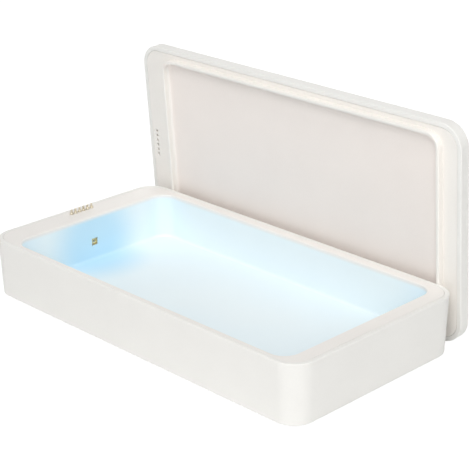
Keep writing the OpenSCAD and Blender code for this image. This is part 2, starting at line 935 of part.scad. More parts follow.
// Inner cover: border, sunk panel, locating ring and contact holes
module lid_inner_cover() {
    color(shell_colour)
    lid_place()
        difference() {
            union() {
                difference() {
                    union() {
                        translate([0, 0, -cover_t])
                            plate(insert_l, insert_w, cover_t, insert_r);
                        translate([cavity_x, -cavity_y, -cover_t - panel_drop])
                            plate(ring_l, ring_across, cover_t, ring_r);
                    }
                    translate([cavity_x, -cavity_y, -panel_drop])
                        plate(ring_l - 2 * ring_w, ring_across - 2 * ring_w, cover_t,
                              ring_r - ring_w);
                }
                translate([cavity_x, -cavity_y, 0])
                    along_outline(ring_l, ring_across, ring_r)
                        ring_section();
            }
            at_contacts()
                translate([0, 0, -cover_t - cut])
                    cylinder(d = contact_hole_d, h = cover_t + 2 * cut);
        }
}

// Insulating block behind the lid's contact holes, from the cover to the skin
module lid_contact_block() {
    color(black_plastic)
    lid_place()
        difference() {
            translate([contact_x - block_w / 2, -block_l / 2, lid_inside_z])
                cube([block_w, block_l, -lid_inside_z - cover_t]);
            at_contacts()
                translate([0, 0, pad_z])
                    cylinder(d = pad_d, h = -pad_z);
        }
}

// Gold pads that the moving pins press on when the lid is shut
module lid_contacts() {
    color(gold)
    lid_place()
        at_contacts()
            translate([0, 0, pad_z])
                cylinder(d = pad_d, h = pad_t);
}

// Charging coil on the lid's skin
module charging_coil() {
    color([0.72, 0.4, 0.2])
    lid_place()
        translate([0, 0, lid_inside_z])
            difference() {
                cylinder(d = coil_d, h = coil_t);
                translate([0, 0, -cut])
                    cylinder(d = coil_bore, h = coil_t + 2 * cut);
            }
}

// Ferrite sheet between the coil and the cavity
module ferrite_sheet() {
    color([0.22, 0.22, 0.23])
    lid_place()
        translate([0, 0, lid_inside_z + coil_t])
            cylinder(d = coil_d + 2 * ferrite_margin, h = ferrite_t);
}

// Charger board beside the coil
module charger_board() {
    color(board_green)
    lid_place()
        translate([charger_x, 0, lid_inside_z]) {
            chip(charger_l, charger_w, charger_t);
            for (c = charger_chips)
                translate([c[0], c[1], charger_t])
                    chip(c[2], c[3], c[4]);
        }
}

// Flat cable from the lid's contact block to the charger board
module lid_cable() {
    start_x = contact_x + block_w / 2;
    color(cable_grey)
    lid_place()
        translate([start_x, cable_edge - block_l / 2, lid_inside_z])
            cube([charger_x - charger_l / 2 - start_x, block_l - 2 * cable_edge, lid_cable_t]);
}

base_shell();
base_liner();
rubber_feet();
case_screws();
control_board();
board_screws();
usb_socket();
tact_switch();
switch_plunger();
power_button();
indicator_lens();
contact_block();
contact_barrels();
contact_pin(1);  // contact_pin_1
contact_pin(2);  // contact_pin_2
contact_pin(3);  // contact_pin_3
contact_pin(4);  // contact_pin_4
contact_pin(5);  // contact_pin_5
contact_pin(6);  // contact_pin_6
contact_cable();
led_board(-1);  // led_board_left
led_board(1);  // led_board_right
uv_led(-1);  // uv_led_left
uv_led(1);  // uv_led_right
uv_led_windows();
led_cables();
lid_shell();
lid_inner_cover();
lid_contact_block();
lid_contacts();
charging_coil();
ferrite_sheet();
charger_board();
lid_cable();
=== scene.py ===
"""Looks of a UV-C sanitizer box for phones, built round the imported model.

The shells, contacts, lights, controls, feet and screws are modelled here with Blender's own
operators and stand for their solids. The boards, cables and other inner parts keep their solids
and get finishes. Everything is in metres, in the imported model's frame.
"""

import json
import logging
import math
from contextlib import contextmanager
from dataclasses import dataclass, field
from enum import Enum
from typing import Any, Callable, Iterator, Sequence

import bmesh
import bpy
from mathutils import Matrix, Vector

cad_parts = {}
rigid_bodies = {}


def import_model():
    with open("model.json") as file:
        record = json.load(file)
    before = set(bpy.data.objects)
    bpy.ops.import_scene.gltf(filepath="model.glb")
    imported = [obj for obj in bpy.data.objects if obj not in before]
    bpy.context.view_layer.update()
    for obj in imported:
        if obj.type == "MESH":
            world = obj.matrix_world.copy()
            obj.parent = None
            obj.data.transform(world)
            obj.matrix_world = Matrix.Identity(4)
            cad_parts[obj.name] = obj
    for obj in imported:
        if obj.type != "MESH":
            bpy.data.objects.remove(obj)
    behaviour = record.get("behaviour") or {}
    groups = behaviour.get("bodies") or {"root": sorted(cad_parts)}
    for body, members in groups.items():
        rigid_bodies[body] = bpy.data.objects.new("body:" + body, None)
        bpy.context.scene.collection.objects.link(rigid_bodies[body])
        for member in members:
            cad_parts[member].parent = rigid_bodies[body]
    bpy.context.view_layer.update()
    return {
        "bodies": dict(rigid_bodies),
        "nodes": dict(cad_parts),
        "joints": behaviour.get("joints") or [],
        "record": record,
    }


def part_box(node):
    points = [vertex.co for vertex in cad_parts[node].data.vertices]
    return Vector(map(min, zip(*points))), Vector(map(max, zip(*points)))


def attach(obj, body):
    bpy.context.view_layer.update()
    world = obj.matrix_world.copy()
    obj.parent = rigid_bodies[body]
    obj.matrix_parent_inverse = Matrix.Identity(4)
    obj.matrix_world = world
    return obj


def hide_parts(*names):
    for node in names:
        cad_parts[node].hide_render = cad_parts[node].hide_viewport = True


MM = 0.001
# Slack in tests of place, distance at which vertices are welded, and what a cutter stands out by
NEAR = 0.01 * MM
WELD = 0.001 * MM
SPARE = 1 * MM
CONTACTS = [f"contact_pin_{number}" for number in range(1, 7)]
LOG = logging.getLogger("sanitizer_box")

Colour = tuple[float, float, float]
Point = Sequence[float]
Profile = Sequence[tuple[float, float]]
EdgeTest = Callable[[bmesh.types.BMEdge], bool]
Material = bpy.types.Material


class Join(Enum):
    """How one solid changes another."""

    ADD = "UNION"
    CUT = "DIFFERENCE"


class Axis(Enum):
    """Direction of a turned piece or of an edge, as the turn that takes +Z there."""

    UP = Matrix.Identity(4)
    LEFT = Matrix.Rotation(math.radians(-90), 4, "Y")
    RIGHT = Matrix.Rotation(math.radians(90), 4, "Y")


class Parts(Enum):
    """Kind of mesh part that is edited: its select mode and its list in a bmesh."""

    CORNERS = ("VERT", "verts")
    EDGES = ("EDGE", "edges")
    FACES = ("FACE", "faces")


def extent(node: str) -> tuple[Vector, Vector]:
    """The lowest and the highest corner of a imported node's box."""
    low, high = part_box(node)
    return Vector(low), Vector(high)


def middle(node: str) -> Vector:
    """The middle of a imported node's box."""
    low, high = extent(node)
    return (low + high) / 2


def four_places(node: str, radius: float) -> list[Vector]:
    """Feet of the four axes of a node that stands at the tray's four corners.

    Args:
        node: The node.
        radius: Radius of one of its four bodies.

    Returns:
        The lowest point of each axis.
    """
    low, high = extent(node)
    reach = high - Vector((radius, radius, 0))
    return [Vector((x * reach.x, y * reach.y, low.z)) for x in (-1, 1) for y in (-1, 1)]


@dataclass(frozen=True)
class RoundedBox:
    """A box whose upright edges are rounded.

    Attributes:
        low: Its lowest corner.
        high: Its highest corner.
        corner: Radius of its upright edges.
    """

    low: Vector
    high: Vector
    corner: float

    def grown(self, width: float) -> "RoundedBox":
        """The box with its sides moved out by a width, and its corners with them."""
        step = Vector((width, width, 0))
        return RoundedBox(self.low - step, self.high + step, self.corner + width)

    def between(self, bottom: float, top: float) -> "RoundedBox":
        """The box with its underside and its top at other heights."""
        low, high = Vector((*self.low.xy, bottom)), Vector((*self.high.xy, top))
        return RoundedBox(low, high, self.corner)

    def outside(self, point: Vector) -> float:
        """Measures how far a point lies outside the sides in plan.

        Args:
            point: The point.

        Returns:
            The distance, which is negative inside.
        """
        centre, half = (self.low + self.high) / 2, (self.high - self.low) / 2
        x = abs(point.x - centre.x) - half.x + self.corner
        y = abs(point.y - centre.y) - half.y + self.corner
        return math.hypot(max(x, 0), max(y, 0)) + min(max(x, y), 0) - self.corner


def along(axis: Axis) -> EdgeTest:
    """Picks the edges that run along an axis.

    Args:
        axis: The axis.

    Returns:
        The test.
    """
    way = axis.value.to_3x3().col[2]

    def runs_along(edge: bmesh.types.BMEdge) -> bool:
        """True for an edge that runs along the axis."""
        span = edge.verts[0].co - edge.verts[1].co
        return span.length - abs(span.dot(way)) < WELD

    return runs_along


def sharp_where(inside: Callable[[Vector], bool]) -> EdgeTest:
    """Picks the sharp edges whose two ends pass a test.

    Args:
        inside: Says of a point whether it passes.

    Returns:
        The test.
    """
    def is_picked(edge: bmesh.types.BMEdge) -> bool:
        """True for a sharp edge with both ends inside."""
        sharp = edge.is_manifold and edge.calc_face_angle(0) > Piece.SMOOTH_ANGLE
        return sharp and all(inside(vertex.co) for vertex in edge.verts)

    return is_picked


def rim(height: float, box: RoundedBox | None = None, out: float = 0.0) -> EdgeTest:
    """Picks the sharp edges at one height.

    Args:
        height: The height.
        box: Box whose sides they follow, where others lie at that height too.
        out: How far outside the box's sides they lie.

    Returns:
        The test.
    """
    return sharp_where(lambda p: abs(p.z - height) < NEAR
                       and (box is None or abs(box.outside(p) - out) < Piece.RIM_REACH))


class Piece:
    """One mesh, shaped with Blender's operators, with its place in its vertices."""

    ROUND_SEGMENTS = 20
    TURN_SIDES = 40
    SMALL_SIDES = 28
    HOLE_SIDES = 24
    END_SEGMENTS = 12
    POLE = 0.3 * MM
    SMOOTH_ANGLE = math.radians(40)
    LEVEL = 0.9
    RIM_REACH = 0.1 * MM

    def __init__(self, name: str) -> None:
        """Takes the primitive that was just added and gives it a name.

        Args:
            name: Name of the piece.
        """
        self.obj = bpy.context.active_object
        self.obj.name = name
        self.obj.data.name = name
        bpy.ops.object.transform_apply(location=True, rotation=True, scale=True)

    @classmethod
    def block(cls, name: str, low: Point, high: Point) -> "Piece":
        """Adds a block between two corners.

        Args:
            name: Name of the piece.
            low: Its lowest corner.
            high: Its highest corner.

        Returns:
            The new piece.
        """
        low, high = Vector(low), Vector(high)
        bpy.ops.object.select_all(action="DESELECT")
        bpy.ops.mesh.primitive_cube_add(size=1, location=(low + high) / 2, scale=high - low)
        return cls(name)

    @classmethod
    def slab(cls, name: str, box: RoundedBox) -> "Piece":
        """Adds a block whose upright edges are rounded.

        Args:
            name: Name of the piece.
            box: Its shape.

        Returns:
            The new piece.
        """
        piece = cls.block(name, box.low, box.high)
        piece.round_edges(along(Axis.UP), box.corner, cls.ROUND_SEGMENTS)
        return piece

    @classmethod
    def turned(cls, name: str, profile: Profile, place: Point, axis: Axis = Axis.UP,
               sides: int = TURN_SIDES) -> "Piece":
        """Makes a turned piece by extruding and scaling a disc along a profile.

        Args:
            name: Name of the piece.
            profile: Radius and height of each ring, from the first disc to the last.
            place: Where the profile's own origin goes.
            axis: Direction that the profile's heights run in.
            sides: Number of sides of the disc.

        Returns:
            The new piece.
        """
        radius, height = profile[0]
        bpy.ops.object.select_all(action="DESELECT")
        bpy.ops.mesh.primitive_circle_add(vertices=sides, radius=radius, fill_type="NGON",
                                          location=(0, 0, height))
        piece = cls(name)
        with piece.editing(Parts.FACES):
            for next_radius, next_height in profile[1:]:
                step = (0, 0, next_height - height)
                bpy.ops.mesh.extrude_region_move(TRANSFORM_OT_translate={"value": step})
                factor = next_radius / radius
                bpy.ops.transform.resize(value=(factor, factor, 1), center_override=(0, 0, 0))
                radius, height = next_radius, next_height
            bpy.ops.mesh.select_all(action="SELECT")
            bpy.ops.mesh.normals_make_consistent(inside=False)
        piece.obj.data.transform(Matrix.Translation(place) @ axis.value)
        return piece

    def pick(self, *others: "Piece") -> None:
        """Selects this piece and any others, and nothing else, with this one active.

        Args:
            others: The other pieces.
        """
        bpy.ops.object.select_all(action="DESELECT")
        for piece in (self, *others):
            piece.obj.select_set(True)
        bpy.context.view_layer.objects.active = self.obj

    @contextmanager
    def editing(self, parts: Parts, test: Callable[[Any], bool] | None = None) -> Iterator[None]:
        """Opens the piece in edit mode with some or all of its parts selected.

        Args:
            parts: Kind of part.
            test: Says whether a part is selected, where not all are.

        Yields:
            Nothing, while the piece is open.
        """
        mode, members = parts.value
        self.pick()
        bpy.ops.object.mode_set(mode="EDIT")
        bpy.ops.mesh.select_mode(type=mode)
        bpy.ops.mesh.select_all(action="DESELECT" if test else "SELECT")
        try:
            if test:
                for part in getattr(bmesh.from_edit_mesh(self.obj.data), members):
                    if test(part):
                        part.select_set(True)
            yield
        finally:
            bpy.ops.object.mode_set(mode="OBJECT")

    def round_edges(self, test: EdgeTest, width: float, segments: int = 2) -> None:
        """Rounds the edges that pass a test.

        Args:
            test: Says whether an edge is rounded.
            width: Radius of the rounding.
            segments: Number of faces across it.
        """
        with self.editing(Parts.EDGES, test):
            bpy.ops.mesh.bevel(offset=width, segments=segments, affect="EDGES",
                               clamp_overlap=False)

    def sink(self, height: float, wall: float, depth: float) -> None:
        """Insets the faces that look up at one height, and lowers what they enclose.

        Args:
            height: Their height.
            wall: Width left standing round them.
            depth: How far the enclosed faces go down.
        """
        def looks_up(face: bmesh.types.BMFace) -> bool:
            """True for a face at that height that looks up."""
            level = abs(face.calc_center_median().z - height) < NEAR
            return level and face.normal.z > self.LEVEL

        with self.editing(Parts.FACES, looks_up):
            bpy.ops.mesh.inset(thickness=wall, depth=0)
            bpy.ops.mesh.extrude_region_move(TRANSFORM_OT_translate={"value": (0, 0, -depth)})

    def taper_walls(self, box: RoundedBox, taper: float) -> None:
        """Narrows the foot of a slab by the same width all round.

        Args:
            box: The slab's shape.
            taper: Width that its foot loses on each side.
        """
        def at_foot(vertex: bmesh.types.BMVert) -> bool:
            """True for a corner of the old foot, and False for one of the new."""
            outer = box.outside(vertex.co) > -taper / 2
            return outer and vertex.co.z < (box.low.z + box.high.z) / 2

        with self.editing(Parts.FACES, lambda face: face.normal.z < -self.LEVEL):
            bpy.ops.mesh.inset(thickness=taper, depth=0)
        with self.editing(Parts.CORNERS, at_foot):
            bpy.ops.transform.translate(value=(0, 0, box.high.z - box.low.z))
        with self.editing(Parts.CORNERS):
            bpy.ops.mesh.remove_doubles(threshold=WELD)
            bpy.ops.mesh.normals_make_consistent(inside=False)

    def combine(self, other: "Piece", join: Join) -> None:
        """Joins another solid to this one or cuts it out, and deletes the other.

        Args:
            other: The other solid.
            join: Whether it is added or cut.
        """
        modifier = self.obj.modifiers.new(join.name, "BOOLEAN")
        modifier.operation = join.value
        modifier.solver = "EXACT"
        modifier.object = other.obj
        self.apply(modifier)
        bpy.data.objects.remove(other.obj)

    def bore(self, profile: Profile, place: Point, axis: Axis = Axis.UP,
             sides: int = TURN_SIDES) -> None:
        """Cuts a turned hole, whose arguments are those of a turned piece."""
        self.combine(Piece.turned("hole", profile, place, axis, sides), Join.CUT)

    def countersink(self, place: Point, radius: float, depth: float, edge: float) -> None:
        """Cuts a round hole down from a place, with a bevelled edge round its mouth."""
        self.bore([(radius, -depth), (radius, -edge), (radius + edge, 0), (radius + edge, SPARE)],
                  place, sides=self.HOLE_SIDES)

    def apply(self, modifier: bpy.types.Modifier) -> None:
        """Applies a modifier of this piece."""
        self.pick()
        bpy.ops.object.modifier_apply(modifier=modifier.name)

    def gather(self, others: Sequence["Piece"]) -> None:
        """Takes other pieces into this one as separate shells."""
        self.pick(*others)
        bpy.ops.object.join()

    def copy(self, name: str, shift: Point) -> "Piece":
        """Copies the piece with a mesh of its own.

        Args:
            name: Name of the copy.
            shift: How far it lies from this piece.

        Returns:
            The copy.
        """
        self.pick()
        bpy.ops.object.duplicate(linked=False)
        twin = Piece(name)
        twin.obj.data.transform(Matrix.Translation(shift))
        return twin

    def dress(self, body: str, slot: str, finish: Material, *nodes: str,
              place: Matrix | None = None) -> None:
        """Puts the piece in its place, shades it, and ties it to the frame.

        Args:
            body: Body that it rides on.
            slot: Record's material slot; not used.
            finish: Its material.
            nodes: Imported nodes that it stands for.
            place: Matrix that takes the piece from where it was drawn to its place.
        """
        if place is not None:
            self.obj.data.transform(place)
        with self.editing(Parts.CORNERS):
            bpy.ops.mesh.remove_doubles(threshold=WELD / 2)
        self.pick()
        bpy.ops.object.shade_smooth_by_angle(angle=self.SMOOTH_ANGLE)
        weighted = self.obj.modifiers.new("flat_faces", "WEIGHTED_NORMAL")
        weighted.keep_sharp = True
        self.apply(weighted)
        self.obj.data.materials.clear()
        self.obj.data.materials.append(finish)
        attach(self.obj, body)
        if nodes:
            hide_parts(*nodes)
        LOG.info("%s rides on %s", self.obj.name, body)


def math_method(operation: str, swap: bool = False) -> Callable[..., "Socket"]:
    """Makes a method of Socket.

    Args:
        operation: Operation of the Math node that the method adds.
        swap: Whether the socket itself comes second.

    Returns:
        The method.
    """
    def method(self: "Socket", *others: "Socket | float") -> "Socket":
        """Adds the node on this socket and any other values.

        Args:
            others: The other values of the sum.

        Returns:
            The node's result.
        """
        values = (*others, self) if swap else (self, *others)
        return self.graph.node("ShaderNodeMath", {"operation": operation},
                               dict(enumerate(values)))

    return method


class Socket:
    """A shader socket whose arithmetic adds Math nodes."""

    def __init__(self, graph: "Graph", link: bpy.types.NodeSocket) -> None:
        """Keeps the graph and the socket."""
        self.graph = graph
        self.link = link

    def beside(self, output: int | str) -> "Socket":
        """Another result of this socket's node."""
        return Socket(self.graph, self.link.node.outputs[output])

    __add__ = math_method("ADD")
    __sub__ = math_method("SUBTRACT")
    __rsub__ = math_method("SUBTRACT", swap=True)
    __mul__ = math_method("MULTIPLY")
    at_least = math_method("MAXIMUM")
    size = math_method("ABSOLUTE")
    root = math_method("SQRT")
    sine = math_method("SINE")
    fraction = math_method("FRACT")

    def wave(self, pitch: float) -> "Socket":
        """A sine wave between 0 and 1 that repeats at every pitch."""
        return (self * (math.tau / pitch)).sine() * 0.5 + 0.5

    def ramp(self, start: float, end: float) -> "Socket":
        """A smooth step.

        Args:
            start: Value at which it leaves 0.
            end: Value at which it reaches 1.

        Returns:
            The step's height.
        """
        return self.graph.node(
            "ShaderNodeMapRange", {"interpolation_type": "SMOOTHSTEP"},
            {"Value": self, "From Min": start, "From Max": end, "To Min": 0.0, "To Max": 1.0})

    def tint(self, low: Any, high: Any) -> "Socket":
        """A colour from low at 0 to high at 1."""
        return self.graph.node("ShaderNodeMix", {"data_type": "RGBA"},
                               {"Factor": self, 6: low, 7: high}, output=2)


class Graph:
    """The node tree of a material or of the world."""

    def __init__(self, tree: bpy.types.NodeTree, kind: str) -> None:
        """Clears a tree and keeps it.

        Args:
            tree: The tree.
            kind: What it belongs to: Material or World.
        """
        tree.nodes.clear()
        self.tree = tree
        self.kind = kind

    @classmethod
    def material(cls, name: str) -> tuple[Material, "Graph"]:
        """Adds a material with an empty graph.

        Args:
            name: Name of the material.

        Returns:
            The material and its graph.
        """
        made = bpy.data.materials.new(name)
        made.use_nodes = True
        return made, cls(made.node_tree, "Material")

    def node(self, kind: str, settings: dict[str, Any] | None = None,
             inputs: dict[Any, Any] | None = None, output: int | str = 0) -> Socket | None:
        """Adds a node and gives one of its results.

        Args:
            kind: Blender's name for the node's type.
            settings: Its settings, which are set first.
            inputs: Values or links of its sockets, by name or number.
            output: Which of its results is wanted.

        Returns:
            The wanted result, or None from a node that has no results.
        """
        made = self.tree.nodes.new(kind)
        for key, value in (settings or {}).items():
            setattr(made, key, value)
        for key, value in (inputs or {}).items():
            if isinstance(value, Socket):
                self.tree.links.new(value.link, made.inputs[key])
            elif made.inputs[key].type == "RGBA" and len(value) == 3:
                made.inputs[key].default_value = (*value, 1.0)
            else:
                made.inputs[key].default_value = value
        return Socket(self, made.outputs[output]) if made.outputs else None

    def vector(self, operation: str, *values: Socket | Point, output: int | str = 0) -> Socket:
        """A Vector Math node's result, which is a number where the output is Value."""
        return self.node("ShaderNodeVectorMath", {"operation": operation},
                         dict(enumerate(values)), output)

    def place(self) -> Socket:
        """The point's place in the part's frame."""
        return self.node("ShaderNodeTexCoord", output="Object")

    def parts(self, vector: Socket) -> tuple[Socket, Socket, Socket]:
        """The three coordinates of a vector."""
        first = self.node("ShaderNodeSeparateXYZ", inputs={0: vector})
        return first, first.beside(1), first.beside(2)

    def noise(self, vector: Socket, size: float, detail: float = 2.0) -> Socket:
        """Noise whose lumps have the given size in metres."""
        return self.node("ShaderNodeTexNoise", inputs={
            "Vector": vector, "Scale": 1 / size, "Detail": detail, "Roughness": 0.5})

    def bump(self, height: Socket, rise: float) -> Socket:
        """A normal from a height map, where rise is the height in metres of a value of 1."""
        return self.node("ShaderNodeBump",
                         inputs={"Height": height, "Distance": rise, "Strength": 1.0})

    def output(self, shader: Socket) -> None:
        """Ends the graph in a shader."""
        self.node(f"ShaderNodeOutput{self.kind}", inputs={"Surface": shader})


@dataclass(frozen=True)
class Finish:
    """A procedural material in one Principled shader.

    Attributes:
        name: Name of the material.
        colour: Its main colour.
    """

    name: str
    colour: Colour

    def make(self) -> Material:
        """Builds the material.

        Returns:
            The material.
        """
        made, graph = Graph.material(self.name)
        inputs = self.inputs(graph, graph.place())
        graph.output(graph.node("ShaderNodeBsdfPrincipled", inputs=inputs))
        return made

    def inputs(self, graph: Graph, place: Socket) -> dict[str, Any]:
        """What feeds the shader at a place, by the names of its sockets.

        Args:
            graph: The material's graph.
            place: The point's place.

        Returns:
            Values and links of the shader's sockets, by name.
        """
        raise NotImplementedError


@dataclass(frozen=True)
class MouldedPlastic(Finish):
    """Satin moulded plastic with the fine grain of a spark-eroded mould.

    Attributes:
        roughness: Its mean roughness.
        grain: Size of the grain.
        relief: Height of the grain.
        cloud: Size of the faint unevenness of colour and gloss.
    """

    roughness: float = 0.46
    grain: float = 0.32 * MM
    relief: float = 0.006 * MM
    cloud: float = 26 * MM

    def inputs(self, graph: Graph, place: Socket) -> dict[str, Any]:
        """Colour, gloss and relief of the moulded surface.

        Args:
            graph: The material's graph.
            place: The point's place.

        Returns:
            Values and links of the shader's sockets, by name.
        """
        fine = graph.noise(place, self.grain, 3.0)
        rub = graph.noise(place, 0.4 * self.cloud, 4.0).ramp(0.25, 0.75)
        return {"Base Color": self.shade(graph, place, self.colour), "IOR": 1.48,
                "Roughness": rub * 0.09 + (self.roughness - 0.045),
                "Normal": graph.bump(fine, self.relief)}

    def shade(self, graph: Graph, place: Socket, colour: Colour) -> Socket:
        """A colour with the plastic's faint clouds and specks.

        Args:
            graph: The material's graph.
            place: The point's place.
            colour: The mean colour.

        Returns:
            The colour.
        """
        clouds = graph.noise(place, self.cloud, 3.0).ramp(0.3, 0.7)
        specks = graph.noise(place, 2.4 * self.grain, 1.0).ramp(0.2, 0.8)
        dull = tuple(0.978 * part for part in colour)
        clear = tuple(min(1.0, 1.008 * part) for part in colour)
        return (clouds * 0.6 + specks * 0.4).tint(dull, clear)


@dataclass(frozen=True)
class LitCavityPlastic(MouldedPlastic):
    """The liner's plastic, which the lights turn pale blue inside the cavity.

    Attributes:
        cavity: The cavity, from its floor to the rim.
        light: Middle of the light that shines.
        painted_blue_light: Colour of the plastic with the lights' blue light painted in, far from
            the light.
        close: Its colour close to the light, a painted pool of the light's blue.
        deep: Painted glow of the lights in the corners and low down.
        pale: Painted glow of the lights in the middle of the walls.
        nook: Width of the corners that count as deep.
        reach: Distances from the light at which its colour starts and is full.
        shore: Depths below the rim at which the painted light starts and is full.
        edge: Distances outside the cavity at which the painted light is full and ends.
        patch: Size of the unevenness of the painted glow.
    """

    cavity: RoundedBox | None = None
    light: Vector = field(default_factory=Vector)
    painted_blue_light: Colour = (0.785, 0.845, 0.868)
    close: Colour = (0.50, 0.71, 0.85)
    deep: Colour = (0.0, 0.06, 0.11)
    pale: Colour = (0.05, 0.065, 0.06)
    nook: float = 16 * MM
    reach: tuple[float, float] = (34 * MM, 10 * MM)
    shore: tuple[float, float] = (0.2 * MM, 2.6 * MM)
    edge: tuple[float, float] = (0.2 * MM, 0.8 * MM)
    patch: float = 38 * MM

    def inputs(self, graph: Graph, place: Socket) -> dict[str, Any]:
        """The plastic's own looks, with the lights' blue light and glow painted in inside the
        cavity.

        Args:
            graph: The material's graph.
            place: The point's place.

        Returns:
            Values and links of the shader's sockets, by name.
        """
        low, high, corner = self.cavity.low, self.cavity.high, self.cavity.corner
        centre, half = (low + high) / 2, (high - low) / 2
        x, y, z = graph.parts(place)
        from_x = (x - centre.x).size() - (half.x - corner)
        from_y = (y - centre.y).size() - (half.y - corner)
        out_x, out_y = from_x.at_least(0.0), from_y.at_least(0.0)
        outside = (out_x * out_x + out_y * out_y).root()
        # Painted light: inside the cavity the base colour turns blue and the walls glow as the
        # lights would light them, bluer near the light and deeper in the corners and low down.
        within = 1 - outside.ramp(*(corner + out for out in self.edge))
        lit = within * z.ramp(*(high.z - down for down in self.shore))
        nooks = from_x.ramp(-self.nook, corner) * from_y.ramp(-self.nook, corner)
        arm = graph.vector("DISTANCE", place, self.light, output="Value")
        blue = arm.ramp(*self.reach).tint(self.painted_blue_light, self.close)
        clouds = graph.noise(place, self.patch, 1.0).ramp(0.35, 0.65)
        depth = nooks * 0.75 + z.ramp(high.z, low.z) * 0.2 + clouds * 0.12
        looks = super().inputs(graph, place)
        return looks | {"Base Color": lit.tint(looks["Base Color"], blue),
                        "Emission Color": lit.tint((0, 0, 0), depth.tint(self.pale, self.deep)),
                        "Emission Strength": 1.0}


@dataclass(frozen=True)
class CoverPlastic(MouldedPlastic):
    """The lid's inner cover, whose sunk panel has a warmer and duller face.

    Attributes:
        panel: Colour of the panel.
        centre: Middle of the panel.
        rise: Direction of the panel's width.
        half: Half the panel's length and width.
        edge: Distances outside the panel at which its colour is full and ends.
    """

    panel: Colour = (0.8, 0.8, 0.8)
    centre: Vector = field(default_factory=Vector)
    rise: Vector = field(default_factory=Vector)
    half: Vector = field(default_factory=Vector)
    edge: tuple[float, float] = (-1.2 * MM, 0.2 * MM)

    def inputs(self, graph: Graph, place: Socket) -> dict[str, Any]:
        """The plastic's own looks, with the panel's colour inside the ring.

        Args:
            graph: The material's graph.
            place: The point's place.

        Returns:
            Values and links of the shader's sockets, by name.
        """
        x, _, _ = graph.parts(place)
        height = graph.vector("DOT_PRODUCT", place, self.rise, output="Value")
        across = (x - self.centre.x).size() - self.half.x
        along = (height - self.centre.dot(self.rise)).size() - self.half.y
        inside = 1 - across.at_least(along).ramp(*self.edge)
        looks = super().inputs(graph, place)
        panel = self.shade(graph, place, self.panel)
        return looks | {"Base Color": inside.tint(looks["Base Color"], panel)}


@dataclass(frozen=True)
class Plating(Finish):
    """Metal with fine drawing marks.

    Attributes:
        tarnish: Colour that it shows in patches.
        roughness: Mean roughness.
        marks: Spacing of the marks.
    """

    tarnish: Colour
    roughness: float = 0.28
    marks: float = 0.12 * MM

    def inputs(self, graph: Graph, place: Socket) -> dict[str, Any]:
        """Patches of tarnish and long marks.

        Args:
            graph: The material's graph.
            place: The point's place.

        Returns:
            Values and links of the shader's sockets, by name.
        """
        stretched = graph.vector("MULTIPLY", place, (1.0, 1.0, 0.15))
        lines = graph.noise(stretched, self.marks)
        patches = graph.noise(place, 14 * self.marks, 3.0).ramp(0.35, 0.75)
        return {"Base Color": patches.tint(self.colour, self.tarnish), "Metallic": 1.0,
                "Roughness": lines * 0.16 + (self.roughness - 0.08),
                "Normal": graph.bump(lines, 0.002 * MM)}


@dataclass(frozen=True)
class Rubber(Finish):
    """Matt rubber with a dusty bloom.

    Attributes:
        bloom: Colour of the bloom.
    """

    bloom: Colour

    def inputs(self, graph: Graph, place: Socket) -> dict[str, Any]:
        """Bloom in patches over a fine grain.

        Args:
            graph: The material's graph.
            place: The point's place.

        Returns:
            Values and links of the shader's sockets, by name.
        """
        grain = graph.noise(place, 0.25 * MM, 4.0)
        dust = graph.noise(place, 3 * MM, 3.0).ramp(0.4, 0.8)
        return {"Base Color": (dust * 0.5).tint(self.colour, self.bloom),
                "Roughness": dust * 0.1 + 0.78, "Normal": graph.bump(grain, 0.02 * MM)}


@dataclass(frozen=True)
class CircuitBoard(Finish):
    """Lacquered board, whose main colour is that of the lacquer over bare board.

    Attributes:
        track: Colour of the lacquer over copper.
        pitch: Spacing of the tracks.
    """

    track: Colour
    pitch: float = 1.6 * MM

    def inputs(self, graph: Graph, place: Socket) -> dict[str, Any]:
        """Bands of track that stand a little above the weave of the board.

        Args:
            graph: The material's graph.
            place: The point's place.

        Returns:
            Values and links of the shader's sockets, by name.
        """
        cells = graph.node("ShaderNodeTexVoronoi", {"distance": "CHEBYCHEV", "feature": "F1"},
                           {"Vector": place, "Scale": 1 / (3 * self.pitch)})
        bands = (cells * 6.0).fraction().ramp(0.42, 0.5)
        weave = graph.noise(place, 0.3 * MM, 1.0)
        return {"Base Color": bands.tint(self.colour, self.track), "Roughness": 0.34,
                "Coat Weight": 0.3, "Normal": graph.bump(bands + weave * 0.2, 0.02 * MM)}


@dataclass(frozen=True)
class Ribbon(Finish):
    """Flat cable with its wires side by side.

    Attributes:
        groove: Colour between two wires, a painted shade in the grooves.
        pitch: Spacing of the wires.
    """

    groove: Colour
    pitch: float = 1.0 * MM

    def inputs(self, graph: Graph, place: Socket) -> dict[str, Any]:
        """Round ridges across the cable's width.

        Args:
            graph: The material's graph.
            place: The point's place.

        Returns:
            Values and links of the shader's sockets, by name.
        """
        _, y, _ = graph.parts(place)
        wave = y.wave(self.pitch)
        # Painted shade: the colour darkens to groove in the hollows between the wires.
        return {"Base Color": wave.ramp(0.0, 0.35).tint(self.groove, self.colour),
                "Roughness": graph.noise(place, 1.5 * MM) * 0.2 + 0.4,
                "Normal": graph.bump(wave.root(), 0.15 * MM)}


@dataclass(frozen=True)
class CoilWire(Finish):
    """Round winding of lacquered wire.

    Attributes:
        groove: Colour between two turns, a painted shade in the gaps.
        centre: Middle of the winding.
        pitch: Spacing of the turns.
    """

    groove: Colour
    centre: Vector
    pitch: float = 1.1 * MM

    def inputs(self, graph: Graph, place: Socket) -> dict[str, Any]:
        """Round ridges that circle the winding's middle.

        Args:
            graph: The material's graph.
            place: The point's place.

        Returns:
            Values and links of the shader's sockets, by name.
        """
        wave = graph.vector("DISTANCE", place, self.centre, output="Value").wave(self.pitch)
        # Painted shade: the colour darkens to groove in the hollows between the turns.
        return {"Base Color": wave.ramp(0.0, 0.5).tint(self.groove, self.colour),
                "Metallic": 0.6, "Roughness": graph.noise(place, 2 * MM) * 0.2 + 0.25,
                "Normal": graph.bump(wave.root(), 0.25 * MM)}


